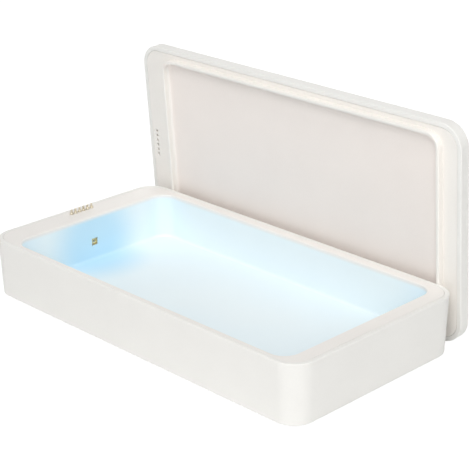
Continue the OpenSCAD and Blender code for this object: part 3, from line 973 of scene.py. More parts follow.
@dataclass(frozen=True)
class ClearPane(Finish):
    """Clear pane with a faint haze.

    Attributes:
        glow: Light that it shines with.
        strength: How strongly it shines.
        alpha: Share of it that isn't seen through straight.
    """

    glow: Colour
    strength: float
    alpha: float = 1.0

    def inputs(self, graph: Graph, place: Socket) -> dict[str, Any]:
        """Clouds of haze in a clear body.

        Args:
            graph: The material's graph.
            place: The point's place.

        Returns:
            Values and links of the shader's sockets, by name.
        """
        haze = graph.noise(place, 0.8 * MM, 3.0).ramp(0.3, 0.8)
        faint = tuple(0.85 * part for part in self.colour)
        return {"Base Color": haze.tint(self.colour, faint), "Roughness": haze * 0.12 + 0.03,
                "IOR": 1.46, "Transmission Weight": 0.9, "Alpha": self.alpha,
                "Emission Color": (haze * 0.3).tint(self.glow, self.colour),
                "Emission Strength": self.strength}


@dataclass(kw_only=True)
class Moulding:
    """What the tray's shell and the lid's skin have in common.

    Attributes:
        finish: Material of both.
        corner: Radius of the upright corners.
        wall: Thickness of the wall at the open side.
        lip: Rounding of the outer edge at the open side.
        hem: Rounding of the outer edge at the closed side.
        seam: Rounding of the edge at the seam with the insert.
    """

    finish: Material
    corner: float = 11 * MM
    wall: float = 2.2 * MM
    lip: float = 0.4 * MM
    hem: float = 0.8 * MM
    seam: float = 0.16 * MM

    def soften(self, shell: Piece, box: RoundedBox, taper: float = 0.0) -> None:
        """Rounds the outer edges and the edge at the seam.

        Args:
            shell: The moulding.
            box: Its box, whose top is its open side.
            taper: Width that its foot has lost on each side.
        """
        shell.round_edges(rim(box.high.z, box), self.lip, 4)
        shell.round_edges(rim(box.low.z, box, -taper), self.hem, 4)
        shell.round_edges(rim(box.high.z, box, -self.wall), self.seam)


@dataclass(kw_only=True)
class TrayShell(Moulding):
    """Outer shell of the tray, with its screw seats, ribs and openings.

    Attributes:
        draft: Angle in degrees by which the outer walls narrow downwards.
    """

    draft: float = 2.0
    floor: float = 1.8 * MM
    seat_r: float = 3.7 * MM
    seat_h: float = 2.0 * MM
    rib_half: tuple[float, float] = (75 * MM, 0.6 * MM)
    rib_h: float = 2.1 * MM
    rib_y: float = 24 * MM
    button_bore_r: float = 3.6 * MM
    lens_bore_r: float = 1.05 * MM
    slot_half: tuple[float, float, float] = (0, 4.72 * MM, 1.88 * MM)
    slot_round: float = 0.98
    opening_edge: float = 0.15 * MM
    foot_bore_r: float = 4.6 * MM
    foot_bore_h: float = 0.6 * MM
    head_bore_r: float = 2.5 * MM
    head_bore_h: float = 2.2 * MM
    head_bore_edge: float = 0.2 * MM
    screw_bore_r: float = 1.35 * MM
    screw_bore_h: float = 4 * MM
    left_reach: tuple[float, float] = (30 * MM, 5 * MM)
    box: RoundedBox = field(init=False)
    shell: Piece = field(init=False)

    def __post_init__(self) -> None:
        """Reads the shell's box from the frame and starts with a slab of its size."""
        self.box = RoundedBox(*extent("base_shell"), self.corner)
        self.shell = Piece.slab("tray_shell", self.box)

    def build(self) -> None:
        """Models and dresses the shell."""
        height = self.box.high.z - self.box.low.z
        taper = height * math.tan(math.radians(self.draft))
        self.shell.taper_walls(self.box, taper)
        self.shell.sink(self.box.high.z, self.wall, height - self.floor)
        self.soften(self.shell, self.box, taper)
        self.stiffen()
        self.open_left_end()
        self.open_underside()
        self.shell.dress("tray", "shell_plastic", self.finish, "base_shell")

    def stiffen(self) -> None:
        """Adds the screw seats and the ribs to the floor."""
        base, top = self.box.low.z + self.floor / 2, self.box.low.z + self.floor
        for screw in four_places("case_screws", Underside.head_r):
            profile = [(self.seat_r, base), (self.seat_r, top + self.seat_h)]
            self.shell.combine(Piece.turned("seat", profile, (screw.x, screw.y, 0)), Join.ADD)
        half = Vector((*self.rib_half, 0))
        for side in (-1, 1):
            centre = Vector((middle("led_cables").x, side * self.rib_y, 0))
            rib = Piece.block("rib", centre - half + Vector((0, 0, base)),
                              centre + half + Vector((0, 0, top + self.rib_h)))
            self.shell.combine(rib, Join.ADD)

    def open_left_end(self) -> None:
        """Cuts the openings of button, indicator and socket."""
        outer = self.box.low.x
        start, depth = outer - SPARE, self.wall + 2 * SPARE
        button, lens = middle("power_button"), middle("indicator_lens")
        for spot, radius in ((button, self.button_bore_r), (lens, self.lens_bore_r)):
            self.shell.bore([(radius, 0), (radius, depth)], (start, spot.y, spot.z),
                            Axis.RIGHT)
        centre, (reach, rise) = Vector((start, middle("usb_socket").y, button.z)), self.left_reach
        half = Vector(self.slot_half)
        slot = Piece.block("slot", centre - half, centre + half + Vector((depth, 0, 0)))
        slot.round_edges(along(Axis.RIGHT), half.z * self.slot_round, Piece.END_SEGMENTS)
        self.shell.combine(slot, Join.CUT)
        self.shell.round_edges(
            sharp_where(lambda p: p.x < outer + self.wall / 2
                        and abs(p.z - button.z) < rise and abs(p.y) < reach),
            self.opening_edge)

    def open_underside(self) -> None:
        """Bores the pockets of the feet and the holes of the screws."""
        foot, pocket = self.box.low.z, self.box.low.z + self.foot_bore_h
        for spot in four_places("rubber_feet", Underside.foot_r):
            self.shell.bore([(self.foot_bore_r, 0), (self.foot_bore_r, pocket)],
                            (spot.x, spot.y, 0))
        edge, head = self.head_bore_edge, foot + self.head_bore_h
        mouth = self.head_bore_r + edge
        for spot in four_places("case_screws", Underside.head_r):
            self.shell.bore([(mouth, 0), (mouth, foot), (self.head_bore_r, foot + edge),
                             (self.head_bore_r, head), (self.screw_bore_r, head),
                             (self.screw_bore_r, head + self.screw_bore_h)], (spot.x, spot.y, 0))


@dataclass
class CavityLiner:
    """Liner with the rim plate and the cavity in one moulding.

    Attributes:
        left: Width of the rim at the left.
        right: Width of the rim at the right.
        front: Width of the rim at the front.
        back: Width of the rim at the back.
    """

    colour: Colour
    left: float = 15.2 * MM
    right: float = 9.4 * MM
    front: float = 3.8 * MM
    back: float = 6.0 * MM
    plate_t: float = 2 * MM
    plate_corner: float = 8.7 * MM
    wall: tuple[float, float, float] = (1.5 * MM, 1.45 * MM, 1.5 * MM)
    floor: float = 6.5 * MM
    corner: float = 8 * MM
    mouth: float = 0.6 * MM
    fillet: float = 1.5 * MM
    seam: float = 0.16 * MM
    window: float = 1.85 * MM
    window_depth: float = 3 * MM
    window_edge: float = 0.2 * MM
    collar_bore_r: float = 0.94 * MM
    collar_bore_h: float = 4 * MM
    collar_bore_edge: float = 0.12 * MM

    def build(self) -> None:
        """Models and dresses the liner."""
        plate = RoundedBox(*extent("base_liner"), self.plate_corner)
        shell_low, shell_high = extent("base_shell")
        top, wall = plate.high.z, Vector(self.wall)
        low = Vector((shell_low.x + self.left, shell_low.y + self.front, self.floor))
        high = Vector((shell_high.x - self.right, shell_high.y - self.back, top))
        cavity = RoundedBox(low, high, self.corner)
        liner = Piece.slab("cavity_liner", plate.between(top - self.plate_t, top))
        tub = RoundedBox(low - wall, high + wall, self.corner + wall.x)
        liner.combine(Piece.slab("tub", tub.between(tub.low.z, top - self.plate_t / 2)), Join.ADD)
        hollow = Piece.slab("hollow", cavity.between(self.floor, top + 2 * SPARE))
        hollow.round_edges(rim(self.floor), self.fillet, 6)
        liner.combine(hollow, Join.CUT)
        liner.round_edges(rim(top, cavity), self.mouth, 5)
        liner.round_edges(rim(top, plate), self.seam)
        for node, wall_x in (("uv_led_left", low.x), ("uv_led_right", high.x)):
            self.open_window(liner, middle(node), wall_x)
        for node in CONTACTS:
            spot = middle(node)
            liner.countersink((spot.x, spot.y, top), self.collar_bore_r, self.collar_bore_h,
                              self.collar_bore_edge)
        finish = LitCavityPlastic("lit_cavity_plastic", self.colour, cavity=cavity,
                                  light=middle("uv_led_left"))
        liner.dress("tray", "liner_plastic", finish.make(), "base_liner")

    def open_window(self, liner: Piece, spot: Vector, wall_x: float) -> None:
        """Cuts the window of a light, with softened edges.

        Args:
            liner: The liner.
            spot: Middle of the light.
            wall_x: Place of the cavity's end wall.
        """
        half = Vector((self.window_depth, self.window, self.window))
        liner.combine(Piece.block("window", spot - half, spot + half), Join.CUT)
        liner.round_edges(
            sharp_where(lambda p: abs(p.x - wall_x) < 2 * NEAR
                        and abs(p.y - spot.y) < 2 * MM and abs(p.z - spot.z) < 2 * MM),
            self.window_edge)


@dataclass
class ContactRow:
    """Six sprung contacts: barrels with flared collars, and pins with domed tips."""

    finish: Material
    collar_r: float = 0.9 * MM
    collar_rise: float = 0.9 * MM
    collar_l: float = 2.5 * MM
    barrel_r: float = 0.75 * MM
    barrel_l: float = 8.2 * MM
    bore_r: float = 0.53 * MM
    bore_l: float = 4.4 * MM
    pin_r: float = 0.5 * MM
    pin_l: float = 5.6 * MM
    dome_rise: float = 0.25 * MM
    edge: float = 0.12 * MM
    dome: tuple[float, ...] = (0, 20, 40, 58, 72, 84)

    def build(self) -> None:
        """Models and dresses barrels and pins."""
        top = extent("base_liner")[1].z
        barrels = [self.barrel(middle(node), top) for node in CONTACTS]
        barrels[0].gather(barrels[1:])
        barrels[0].dress("tray", "gold_plate", self.finish, "contact_barrels")
        for number, node in enumerate(CONTACTS, 1):
            pin = self.pin(f"sprung_pin_{number}", middle(node), extent(node)[1].z)
            pin.dress(f"pin_{number}", "gold_plate", self.finish, node)

    def barrel(self, spot: Vector, top: float) -> Piece:
        """One barrel with its collar and its bore.

        Args:
            spot: Middle of its pin.
            top: Height of the rim, from which its own heights start.

        Returns:
            The barrel.
        """
        edge, collar, rise = self.edge, self.collar_r, self.collar_rise
        profile = [
            (self.barrel_r - edge, -self.barrel_l), (self.barrel_r, edge - self.barrel_l),
            (self.barrel_r, -self.collar_l), (collar, -self.collar_l), (collar, -0.1 * MM),
            (collar, rise - edge), (collar - 0.4 * edge, rise - 0.4 * edge),
            (collar - edge, rise), (self.bore_r + edge, rise), (self.bore_r, rise - edge),
            (self.bore_r, -self.bore_l)]
        return Piece.turned("contact_barrel_row", profile, (spot.x, spot.y, top),
                            sides=Piece.SMALL_SIDES)

    def pin(self, name: str, spot: Vector, tip: float) -> Piece:
        """One pin with a rounded foot and a domed tip.

        Args:
            name: Name of the pin.
            spot: Its middle.
            tip: Height of its tip, from which its own heights start.

        Returns:
            The pin.
        """
        profile = [(self.pin_r - self.edge, -self.pin_l), (self.pin_r, self.edge - self.pin_l)]
        for angle in map(math.radians, self.dome):
            profile.append((self.pin_r * math.cos(angle),
                            self.dome_rise * (math.sin(angle) - 1)))
        return Piece.turned(name, profile, (spot.x, spot.y, tip), sides=Piece.SMALL_SIDES)


@dataclass
class UvLights:
    """Two UV-C lights: plated package with a chip in its well, and a quartz window.

    Each is drawn with its back at z = 0 and its light going up.
    """

    gold: Material
    quartz: Material
    chip: Material
    half: float = 1.75 * MM
    base_t: float = 0.8 * MM
    wall: float = 0.4 * MM
    well: float = 0.5 * MM
    chip_half: float = 0.55 * MM
    chip_t: float = 0.2 * MM
    window_half: float = 1.65 * MM
    window_t: float = 0.5 * MM
    package_corner: float = 0.3 * MM
    window_corner: float = 0.25 * MM
    window_edge: float = 0.1 * MM
    edge: float = 0.05 * MM

    def build(self) -> None:
        """Models and dresses both lights."""
        windows = []
        for side, turn in (("left", Axis.RIGHT), ("right", Axis.LEFT)):
            node = f"uv_led_{side}"
            low, high = extent(node)
            back = low.x if turn is Axis.RIGHT else high.x
            place = Matrix.Translation((back, *middle(node).yz)) @ turn.value
            package = self.plate(f"uv_package_{side}", self.half, 0, self.base_t)
            package.round_edges(along(Axis.UP), self.package_corner, 5)
            package.sink(self.base_t, self.wall, self.well)
            package.round_edges(rim(self.base_t), self.edge)
            package.dress("tray", "gold_plate", self.gold, node, place=place)
            floor = self.base_t - self.well
            die = self.plate(f"uv_chip_{side}", self.chip_half, floor, floor + self.chip_t)
            die.round_edges(rim(floor + self.chip_t), self.edge)
            die.dress("tray", "black_plastic", self.chip, place=place)
            window = self.plate("uv_window_pair", self.window_half, self.base_t,
                                self.base_t + self.window_t)
            window.round_edges(along(Axis.UP), self.window_corner, 4)
            window.round_edges(rim(self.base_t + self.window_t), self.window_edge)
            window.obj.data.transform(place)
            windows.append(window)
        windows[0].gather(windows[1:])
        windows[0].dress("tray", "quartz", self.quartz, "uv_led_windows")

    @staticmethod
    def plate(name: str, half: float, bottom: float, top: float) -> Piece:
        """A square plate round the light's axis."""
        return Piece.block(name, (-half, -half, bottom), (half, half, top))


@dataclass
class LeftEnd:
    """What shows on the tray's left end: button, indicator and charging socket."""

    button: Material
    lens: Material
    steel: Material
    cap_r: float = 3.5 * MM
    cap_l: float = 2.7 * MM
    cap_edge: tuple[float, float] = (0.3 * MM, 0.09 * MM)
    dish: float = 0.25 * MM
    dish_start: tuple[float, float] = (0.86, 0.02 * MM)
    dish_rings: tuple[float, ...] = (0.8, 0.62, 0.42, 0.2, 0.04)
    flange_r: float = 4.5 * MM
    flange_t: float = 0.6 * MM
    flange_gap: float = 0.1 * MM
    stem_r: float = 1.2 * MM
    stem_l: float = 3.9 * MM
    lens_rings: Profile = (
        (1, 0.25 * MM), (0.94, 0.1 * MM), (0.75, 0.03 * MM), (0.4, 0.005 * MM), (0.05, 0))
    socket_half_z: float = 1.63 * MM
    socket_wall: float = 0.3 * MM
    socket_round: float = 0.97
    socket_edge: float = 0.08 * MM
    tongue_half: tuple[float, float, float] = (0, 3.35 * MM, 0.35 * MM)
    tongue_ends: tuple[float, float] = (0.8 * MM, 0.5 * MM)
    tongue_edge: float = 0.15 * MM
    foot_half: float = 0.5 * MM
    foot_in: float = 2 * MM
    foot_ends: tuple[float, float] = (3 * MM, 1 * MM)
    foot_root: float = 0.2 * MM

    def build(self) -> None:
        """Models and dresses the three."""
        self.build_button()
        self.build_lens()
        self.build_socket()

    def build_button(self) -> None:
        """The dished cap with its flange and its stem, whose heights start at its face."""
        face, spot, r = extent("power_button")[0].x, middle("power_button"), self.cap_r
        flange = face - extent("base_shell")[0].x - TrayShell.wall - self.flange_gap
        behind = flange - self.flange_t
        (edge, bend), (part, drop) = self.cap_edge, self.dish_start
        profile = [(Piece.POLE, -self.stem_l), (self.stem_r, -self.stem_l),
                   (self.stem_r, -self.cap_l), (r, -self.cap_l), (r, behind),
                   (self.flange_r, behind), (self.flange_r, flange), (r, flange),
                   (r, -edge), (r - bend, -bend), (r - edge, 0), (r * part, -drop)]
        for part in self.dish_rings:
            profile.append((r * part, -self.dish * (1 - part * part)))
        cap = Piece.turned("power_button_cap", profile, (face, spot.y, spot.z), Axis.LEFT)
        cap.dress("button", "button_plastic", self.button, "power_button")

    def build_lens(self) -> None:
        """The light pipe with a shallow domed face."""
        low, high = extent("indicator_lens")
        spot, r = middle("indicator_lens"), (high.z - low.z) / 2
        profile = [(r, low.x - high.x)] + [(r * part, -drop) for part, drop in self.lens_rings]
        pipe = Piece.turned("indicator_pipe", profile, (low.x, spot.y, spot.z), Axis.LEFT)
        pipe.dress("tray", "light_pipe", self.lens, "indicator_lens")

    def build_socket(self) -> None:
        """The drawn socket shell, its tongue and its feet."""
        low, high = extent("usb_socket")
        height = middle("power_button").z
        front = Vector((low.x, middle("usb_socket").y, height))
        back = Vector((high.x, front.y, height))
        half = Vector((0, (high.y - low.y) / 2, self.socket_half_z))
        inner = half - Vector((0, self.socket_wall, self.socket_wall))
        shift = Vector((SPARE, 0, 0))
        shell = Piece.block("socket_shell", front - half, back + half)
        shell.round_edges(along(Axis.RIGHT), half.z * self.socket_round, Piece.END_SEGMENTS)
        hollow = Piece.block("hollow", front - inner - shift, back + inner - shift)
        hollow.round_edges(along(Axis.RIGHT), inner.z * self.socket_round, Piece.END_SEGMENTS)
        shell.combine(hollow, Join.CUT)
        shell.round_edges(sharp_where(lambda p: p.x < low.x + NEAR), self.socket_edge)
        tongue_half, (recess, stop) = Vector(self.tongue_half), self.tongue_ends
        tongue = Piece.block("tongue", front - tongue_half + Vector((recess, 0, 0)),
                             back + tongue_half - Vector((stop, 0, 0)))
        tongue.round_edges(sharp_where(lambda p: p.x < low.x + recess + NEAR), self.tongue_edge)
        shell.combine(tongue, Join.ADD)
        start, end = (back.x - step for step in self.foot_ends)
        root = height - half.z + self.foot_root
        for side in (-1, 1):
            y = front.y + side * (half.y - self.foot_in)
            foot = Piece.block("foot", (start, y - self.foot_half, low.z),
                               (end, y + self.foot_half, root))
            shell.combine(foot, Join.ADD)
        shell.dress("tray", "socket_steel", self.steel, "usb_socket")


@dataclass
class Underside:
    """Rubber feet and the case screws above them."""

    rubber: Material
    steel: Material
    foot_r: float = 4.5 * MM
    foot_h: float = 1.6 * MM
    foot_edge: tuple[float, float] = (0.35 * MM, 0.1 * MM)
    root_edge: tuple[float, float] = (0.2 * MM, 0.06 * MM)
    sole: float = 0.25 * MM
    sole_rings: tuple[float, float] = (1.3 * MM, 1.6 * MM)
    head_r: float = 2.3 * MM
    head_h: float = 1.5 * MM
    head_edge: tuple[float, float] = (0.1 * MM, 0.5 * MM)
    shank_r: float = 1.25 * MM
    thread_pitch: float = 0.95 * MM
    thread_depth: float = 0.25 * MM
    thread_flanks: tuple[float, float, float] = (0.35 * MM, 0.55 * MM, 0.75 * MM)
    thread_stop: float = 1.4 * MM
    tip_l: float = 0.8 * MM
    tip_r: float = 0.5 * MM
    cross_half: float = 0.3 * MM
    cross_depth: float = 0.8 * MM

    def build(self) -> None:
        """Models one foot and one screw, and copies them to the corners."""
        feet = four_places("rubber_feet", self.foot_r)
        screws = four_places("case_screws", self.head_r)
        self.spread(self.foot(feet[0]), feet, "rubber", self.rubber, "rubber_feet")
        self.spread(self.screw(screws[0]), screws, "screw_steel", self.steel, "case_screws")

    @staticmethod
    def spread(first: Piece, corners: Sequence[Vector], slot: str,
               finish: Material, node: str) -> None:
        """Copies the first corner's piece to the others, and dresses all as one piece."""
        first.gather([first.copy("twin", corner - corners[0]) for corner in corners[1:]])
        first.dress("tray", slot, finish, node)

    def foot(self, corner: Vector) -> Piece:
        """One foot with a rounded edge and a hollow in its sole.

        Args:
            corner: Lowest point of its axis.

        Returns:
            The foot.
        """
        r, h, (inner, outer) = self.foot_r, self.foot_h, self.sole_rings
        (edge, bend), (root, turn) = self.foot_edge, self.root_edge
        profile = [(Piece.POLE, self.sole), (inner, self.sole), (outer, 0), (r - edge, 0),
                   (r - bend, bend), (r, edge), (r, h - root), (r - turn, h - turn),
                   (r - root, h), (Piece.POLE, h)]
        return Piece.turned("rubber_foot_set", profile, corner)

    def screw(self, corner: Vector) -> Piece:
        """One pan head screw with a cross recess and a pointed shank.

        Args:
            corner: Lowest point of its axis.

        Returns:
            The screw.
        """
        r, h, shank = self.head_r, self.head_h, self.shank_r
        core, length = shank - self.thread_depth, extent("case_screws")[1].z - corner.z
        (bend, edge), (crest, fall, rise) = self.head_edge, self.thread_flanks
        profile = [(r * 0.5, 0), (r * 0.8, bend), (r, edge), (r, h), (shank, h)]
        height = h
        while height < length - self.tip_l - self.thread_stop:
            profile += [(shank, height + crest), (core, height + fall), (core, height + rise),
                        (shank, height + self.thread_pitch)]
            height += self.thread_pitch
        profile += [(shank, length - self.tip_l), (self.tip_r, length)]
        screw = Piece.turned("case_screw_set", profile, corner, sides=Piece.SMALL_SIDES)
        for x, y in ((r * 0.5, self.cross_half), (self.cross_half, r * 0.5)):
            slot = Piece.block("slot", corner - Vector((x, y, SPARE)),
                               corner + Vector((x, y, self.cross_depth)))
            screw.combine(slot, Join.CUT)
        return screw


@dataclass(kw_only=True)
class Lid(Moulding):
    """Lid that leans on the tray: skin, inner cover with ring, and gold pads.

    The lid is drawn face up with its border at z = 0, and then leant.

    Attributes:
        cover_colour: Colour of the inner cover.
        panel_colour: Colour of the panel inside its ring.
        gold: Material of the pads.
        lean: Angle in degrees that it leans forward by.
    """

    cover_colour: Colour
    panel_colour: Colour
    gold: Material
    lean: float = 4.5
    length: float = 200 * MM
    width: float = 105 * MM
    thickness: float = 5.8 * MM
    skin_t: float = 1.5 * MM
    coil_t: float = 1.0 * MM
    seam_gap: float = 0.1 * MM
    cover_t: float = 1.3 * MM
    ledge: float = 1.2 * MM
    ring_gap: float = 0.6 * MM
    ring_w: float = 1.8 * MM
    ring_h: float = 2.8 * MM
    ring_edge: float = 0.6 * MM
    ring_corner: float = 7.4 * MM
    ring_foot: float = 1.4 * MM
    panel_drop: float = 0.5 * MM
    contact_x: float = -94.4 * MM
    contact_pitch: float = 2.54 * MM
    hole_r: float = 0.75 * MM
    hole_edge: float = 0.1 * MM
    pad_r: float = 0.95 * MM
    pad_t: float = 0.4 * MM
    pad_z: float = -2.3 * MM
    pad_edge: float = 0.05 * MM
    pad_dimple: Profile = ((0.4 * MM, 0), (0.25 * MM, 0.06 * MM), (0.05 * MM, 0.08 * MM))
    place: Matrix = field(init=False)
    border: RoundedBox = field(init=False)

    def __post_init__(self) -> None:
        """Works out the lid's place from its lean and the coil's place in the frame."""
        turn = Matrix.Rotation(math.radians(90 + self.lean), 4, "X")
        coil = Vector((0, 0, self.skin_t + self.coil_t / 2 - self.thickness))
        self.place = (Matrix.Translation(middle("charging_coil")) @ turn
                      @ Matrix.Translation(-coil))
        half = Vector((self.length / 2, self.width / 2, 0))
        self.border = RoundedBox(-half, half, self.corner)

    def build(self) -> None:
        """Models and dresses the lid's pieces."""
        self.build_skin()
        self.build_cover()
        self.build_pads()

    def build_skin(self) -> None:
        """The outer skin with its wall and the ledge for the cover."""
        box = self.border.between(-self.thickness, 0)
        skin = Piece.slab("lid_skin", box)
        skin.sink(0, self.wall, self.cover_t)
        skin.sink(-self.cover_t, self.ledge, self.thickness - self.skin_t - self.cover_t)
        self.soften(skin, box)
        skin.dress("lid", "shell_plastic", self.finish, "lid_shell", place=self.place)

    def build_cover(self) -> None:
        """The inner cover: border, raised ring, sunk panel and contact holes."""
        inset = self.wall + self.seam_gap
        half = Vector((self.length / 2 - inset, self.width / 2 - inset, 0))
        border = RoundedBox(-half, half, self.corner - inset)
        left, right, front, back = (width + self.ring_gap for width in (
            CavityLiner.left, CavityLiner.right, CavityLiner.front, CavityLiner.back))
        ring = RoundedBox(Vector((left - self.length / 2, back - self.width / 2, 0)),
                          Vector((self.length / 2 - right, self.width / 2 - front, 0)),
                          self.ring_corner)
        panel = ring.grown(-self.ring_w)
        cover = Piece.slab("lid_cover", border.between(-self.cover_t, 0))
        frame = Piece.slab("ring", ring.between(-self.cover_t / 2, self.ring_h))
        frame.round_edges(rim(self.ring_h), self.ring_edge, 5)
        cover.combine(frame, Join.ADD)
        backing = ring.between(-self.cover_t - self.panel_drop, -self.cover_t / 2)
        cover.combine(Piece.slab("backing", backing), Join.ADD)
        well = panel.between(-self.panel_drop, self.ring_h + SPARE)
        cover.combine(Piece.slab("well", well), Join.CUT)
        cover.round_edges(rim(self.ring_h, panel), self.ring_edge, 5)
        cover.round_edges(rim(-self.panel_drop, panel), self.ring_foot, 6)
        cover.round_edges(rim(0, border), self.seam)
        for spot in self.contacts(0):
            cover.countersink(spot, self.hole_r, 3 * MM, self.hole_edge)
        finish = CoverPlastic("cover_plastic", self.cover_colour, panel=self.panel_colour,
                              centre=self.place @ ((panel.low + panel.high) / 2),
                              rise=self.place.to_3x3().col[1].copy(),
                              half=(panel.high - panel.low) / 2)
        cover.dress("lid", "shell_plastic", finish.make(), "lid_inner_cover", place=self.place)

    def contacts(self, height: float) -> list[Vector]:
        """Places of the lid's contacts.

        Args:
            height: Their height in the drawn lid.

        Returns:
            The places.
        """
        last = (len(CONTACTS) - 1) / 2
        return [Vector((self.contact_x, (number - last) * self.contact_pitch, height))
                for number in range(len(CONTACTS))]

    def build_pads(self) -> None:
        """The gold pads that the pins press on, each with a dimple."""
        r, t, edge = self.pad_r, self.pad_t, self.pad_edge
        profile = [(r, 0), (r, t - edge), (r - edge, t)]
        profile += [(ring, t - drop) for ring, drop in self.pad_dimple]
        pads = [Piece.turned("lid_pad_row", profile, spot, sides=Piece.SMALL_SIDES)
                for spot in self.contacts(self.pad_z)]
        pads[0].gather(pads[1:])
        pads[0].dress("lid", "gold_plate", self.gold, "lid_contacts", place=self.place)


@dataclass
class InnerParts:
    """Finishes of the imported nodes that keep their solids."""

    nodes: dict[str, bpy.types.Object]

    def dress(self) -> None:
        """Gives every inner node its finish."""
        finishes = {
            CircuitBoard("green_board", (0.02, 0.12, 0.06), (0.05, 0.25, 0.12)):
                ("control_board", "charger_board"),
            CircuitBoard("white_board", (0.75, 0.75, 0.72), (0.85, 0.84, 0.78)):
                ("led_board_left", "led_board_right"),
            MouldedPlastic("black_plastic", (0.025, 0.025, 0.027)):
                ("tact_switch", "contact_block", "lid_contact_block"),
            # The ribbon's second colour is painted shade in the grooves between its wires.
            Ribbon("ribbon_cable", (0.5, 0.51, 0.53), (0.2, 0.2, 0.21)):
                ("contact_cable", "led_cables", "lid_cable"),
            Plating("screw_zinc", (0.62, 0.63, 0.66), (0.5, 0.5, 0.5)): ("board_screws",),
            MouldedPlastic("plunger_plastic", (0.7, 0.7, 0.66)): ("switch_plunger",),
            MouldedPlastic("ferrite", (0.045, 0.045, 0.05), 0.6, 0.5 * MM, 0.02 * MM):
                ("ferrite_sheet",),
            # The coil's second colour is painted shade in the gaps between its turns.
            CoilWire("coil_wire", (0.65, 0.28, 0.13), (0.12, 0.05, 0.03),
                     middle("charging_coil").freeze()): ("charging_coil",)}
        for finish, nodes in finishes.items():
            made = finish.make()
            for node in nodes:
                materials = self.nodes[node].data.materials
                materials.clear()
                materials.append(made)
                LOG.info("%s keeps its solid", node)


@dataclass
class PhotoCamera:
    """The camera that took the photograph, as fitted to the box's edges.

    Attributes:
        place: Where it stands.
        azimuth: Turn in degrees about Z, from looking along +Y.
        elevation: Angle in degrees above the horizon.
        roll: Turn in degrees about its own axis.
        lens: Focal length in millimetres at the sensor's width.
        sensor: Width of the sensor in millimetres.
        nearest: Distance at which it starts to see.
    """

    place: Point = (0.45817, -0.44179, 0.29868)
    azimuth: float = 45.163
    elevation: float = 21.890
    roll: float = -0.269
    lens: float = 115.82
    sensor: float = 36.0
    nearest: float = 10 * MM

    def build(self) -> None:
        """Adds the camera and makes it the scene's own."""
        data = bpy.data.cameras.new("photo_camera")
        data.lens = self.lens
        data.sensor_width = self.sensor
        data.clip_start = self.nearest
        camera = bpy.data.objects.new("photo_camera", data)
        bpy.context.collection.objects.link(camera)
        place = Matrix.Translation(self.place)
        for angle, axis in ((self.azimuth, "Z"), (90 - self.elevation, "X"), (self.roll, "Z")):
            place @= Matrix.Rotation(math.radians(angle), 4, axis)
        camera.matrix_world = place
        bpy.context.scene.camera = camera


@dataclass(frozen=True)
class Lamp:
    """A soft lamp that faces the box.

    Attributes:
        name: Name of the lamp.
        place: Where it hangs.
        size: Side of its square face.
        power: Its power in watts.
    """

    name: str
    place: Point
    size: float
    power: float

    def hang(self) -> None:
        """Adds the lamp to the scene."""
        data = bpy.data.lights.new(self.name, "AREA")
        data.size = self.size
        data.energy = self.power
        lamp = bpy.data.objects.new(self.name, data)
        bpy.context.collection.objects.link(lamp)
        lamp.location = self.place
        lamp.rotation_euler = (-Vector(self.place)).to_track_quat("-Z", "Y").to_euler()


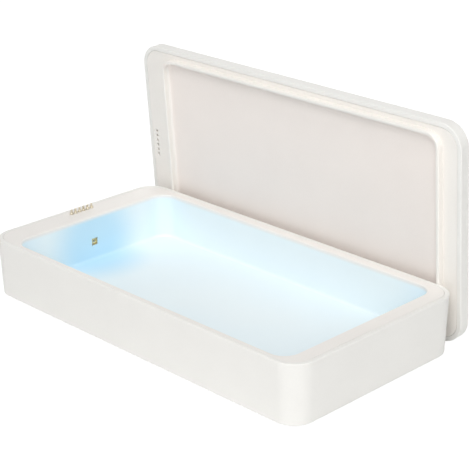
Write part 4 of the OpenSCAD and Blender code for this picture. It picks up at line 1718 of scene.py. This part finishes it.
@dataclass
class Studio:
    """Plain pale floor, soft lamps and a white backdrop.

    Attributes:
        ambient: Brightness of the world as the object sees it.
        floor_half: Half the side of the floor.
        floor_glow: Brightness that the floor has by itself.
        floor_share: Share of that glow in the floor's looks, which no shadow takes away.
    """

    ambient: float = 0.28
    floor_half: float = 2.0
    floor_glow: float = 1.28
    floor_share: float = 0.72

    def build(self) -> None:
        """Builds the world, the floor and the lamps."""
        scene = bpy.context.scene
        scene.view_settings.view_transform = "Standard"
        scene.world = bpy.data.worlds.new("studio")
        scene.world.use_nodes = True
        self.light_world(Graph(scene.world.node_tree, "World"))
        self.lay_floor()
        for lamp in (Lamp("key", (0.72, -0.84, 0.62), 0.7, 5.7),
                     Lamp("top", (0.1, -0.6, 1.2), 0.7, 7.4),
                     Lamp("right", (1.1, 0.0, 0.45), 0.6, 1.9),
                     Lamp("back", (-0.7, 0.9, 0.12), 0.5, 2.8)):
            lamp.hang()

    def light_world(self, graph: Graph) -> None:
        """White for the camera and in reflections, dimmer as light.

        Args:
            graph: The world's graph.
        """
        strength = self.seen(graph) * (1 - self.ambient) + self.ambient
        graph.output(graph.node("ShaderNodeBackground", inputs={
            "Color": (1.0, 1.0, 1.0), "Strength": strength}))

    @staticmethod
    def seen(graph: Graph) -> Socket:
        """Tells the rays that show the background from those that only light.

        Args:
            graph: The world's graph.

        Returns:
            1 for camera, glossy and transmission rays, and 0 for the others.
        """
        camera = graph.node("ShaderNodeLightPath", output="Is Camera Ray")
        glossy, through = camera.beside("Is Glossy Ray"), camera.beside("Is Transmission Ray")
        return camera.at_least(glossy).at_least(through)

    def lay_floor(self) -> None:
        """A white floor that keeps a soft shadow."""
        bpy.ops.mesh.primitive_plane_add(size=2 * self.floor_half)
        floor = bpy.context.active_object
        floor.name = "floor"
        finish, graph = Graph.material("floor_white")
        matt = graph.node("ShaderNodeBsdfDiffuse", inputs={"Color": (0.9, 0.9, 0.9)})
        glow = graph.node("ShaderNodeEmission", inputs={
            "Color": (1.0, 1.0, 1.0), "Strength": self.floor_glow})
        graph.output(graph.node("ShaderNodeMixShader", inputs={
            0: self.seen(graph) * self.floor_share, 1: matt, 2: glow}))
        floor.data.materials.append(finish)


def main() -> None:
    """Builds the whole scene."""
    logging.basicConfig(level=logging.INFO, format="%(message)s")
    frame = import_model()
    PhotoCamera().build()
    Studio().build()
    off_white = MouldedPlastic("off_white_plastic", (0.855, 0.845, 0.812)).make()
    gold = Plating("gold_plating", (0.71, 0.65, 0.53), (0.53, 0.48, 0.37), 0.36).make()
    package_gold = Plating("package_gold", (0.82, 0.72, 0.31), (0.70, 0.60, 0.23), 0.4).make()
    steel = Plating("drawn_steel", (0.66, 0.67, 0.7), (0.55, 0.55, 0.56)).make()
    quartz = ClearPane("quartz", (0.95, 0.97, 1.0), (0.45, 0.55, 1.0), 0.1, 0.2).make()
    chip = MouldedPlastic("light_chip", (0.22, 0.24, 0.15)).make()
    button = MouldedPlastic("button_plastic", (0.7, 0.71, 0.72)).make()
    lens = ClearPane("light_pipe", (0.85, 0.95, 0.88), (0.3, 0.9, 0.6), 0.3).make()
    rubber = Rubber("foot_rubber", (0.03, 0.03, 0.032), (0.12, 0.12, 0.12)).make()
    TrayShell(finish=off_white).build()
    CavityLiner((0.87, 0.843, 0.808)).build()
    ContactRow(gold).build()
    UvLights(package_gold, quartz, chip).build()
    LeftEnd(button, lens, steel).build()
    Underside(rubber, steel).build()
    Lid(finish=off_white, cover_colour=(0.885, 0.852, 0.807),
        panel_colour=(0.885, 0.812, 0.765), gold=gold).build()
    InnerParts(frame["nodes"]).dress()


if __name__ == "__main__":
    main()
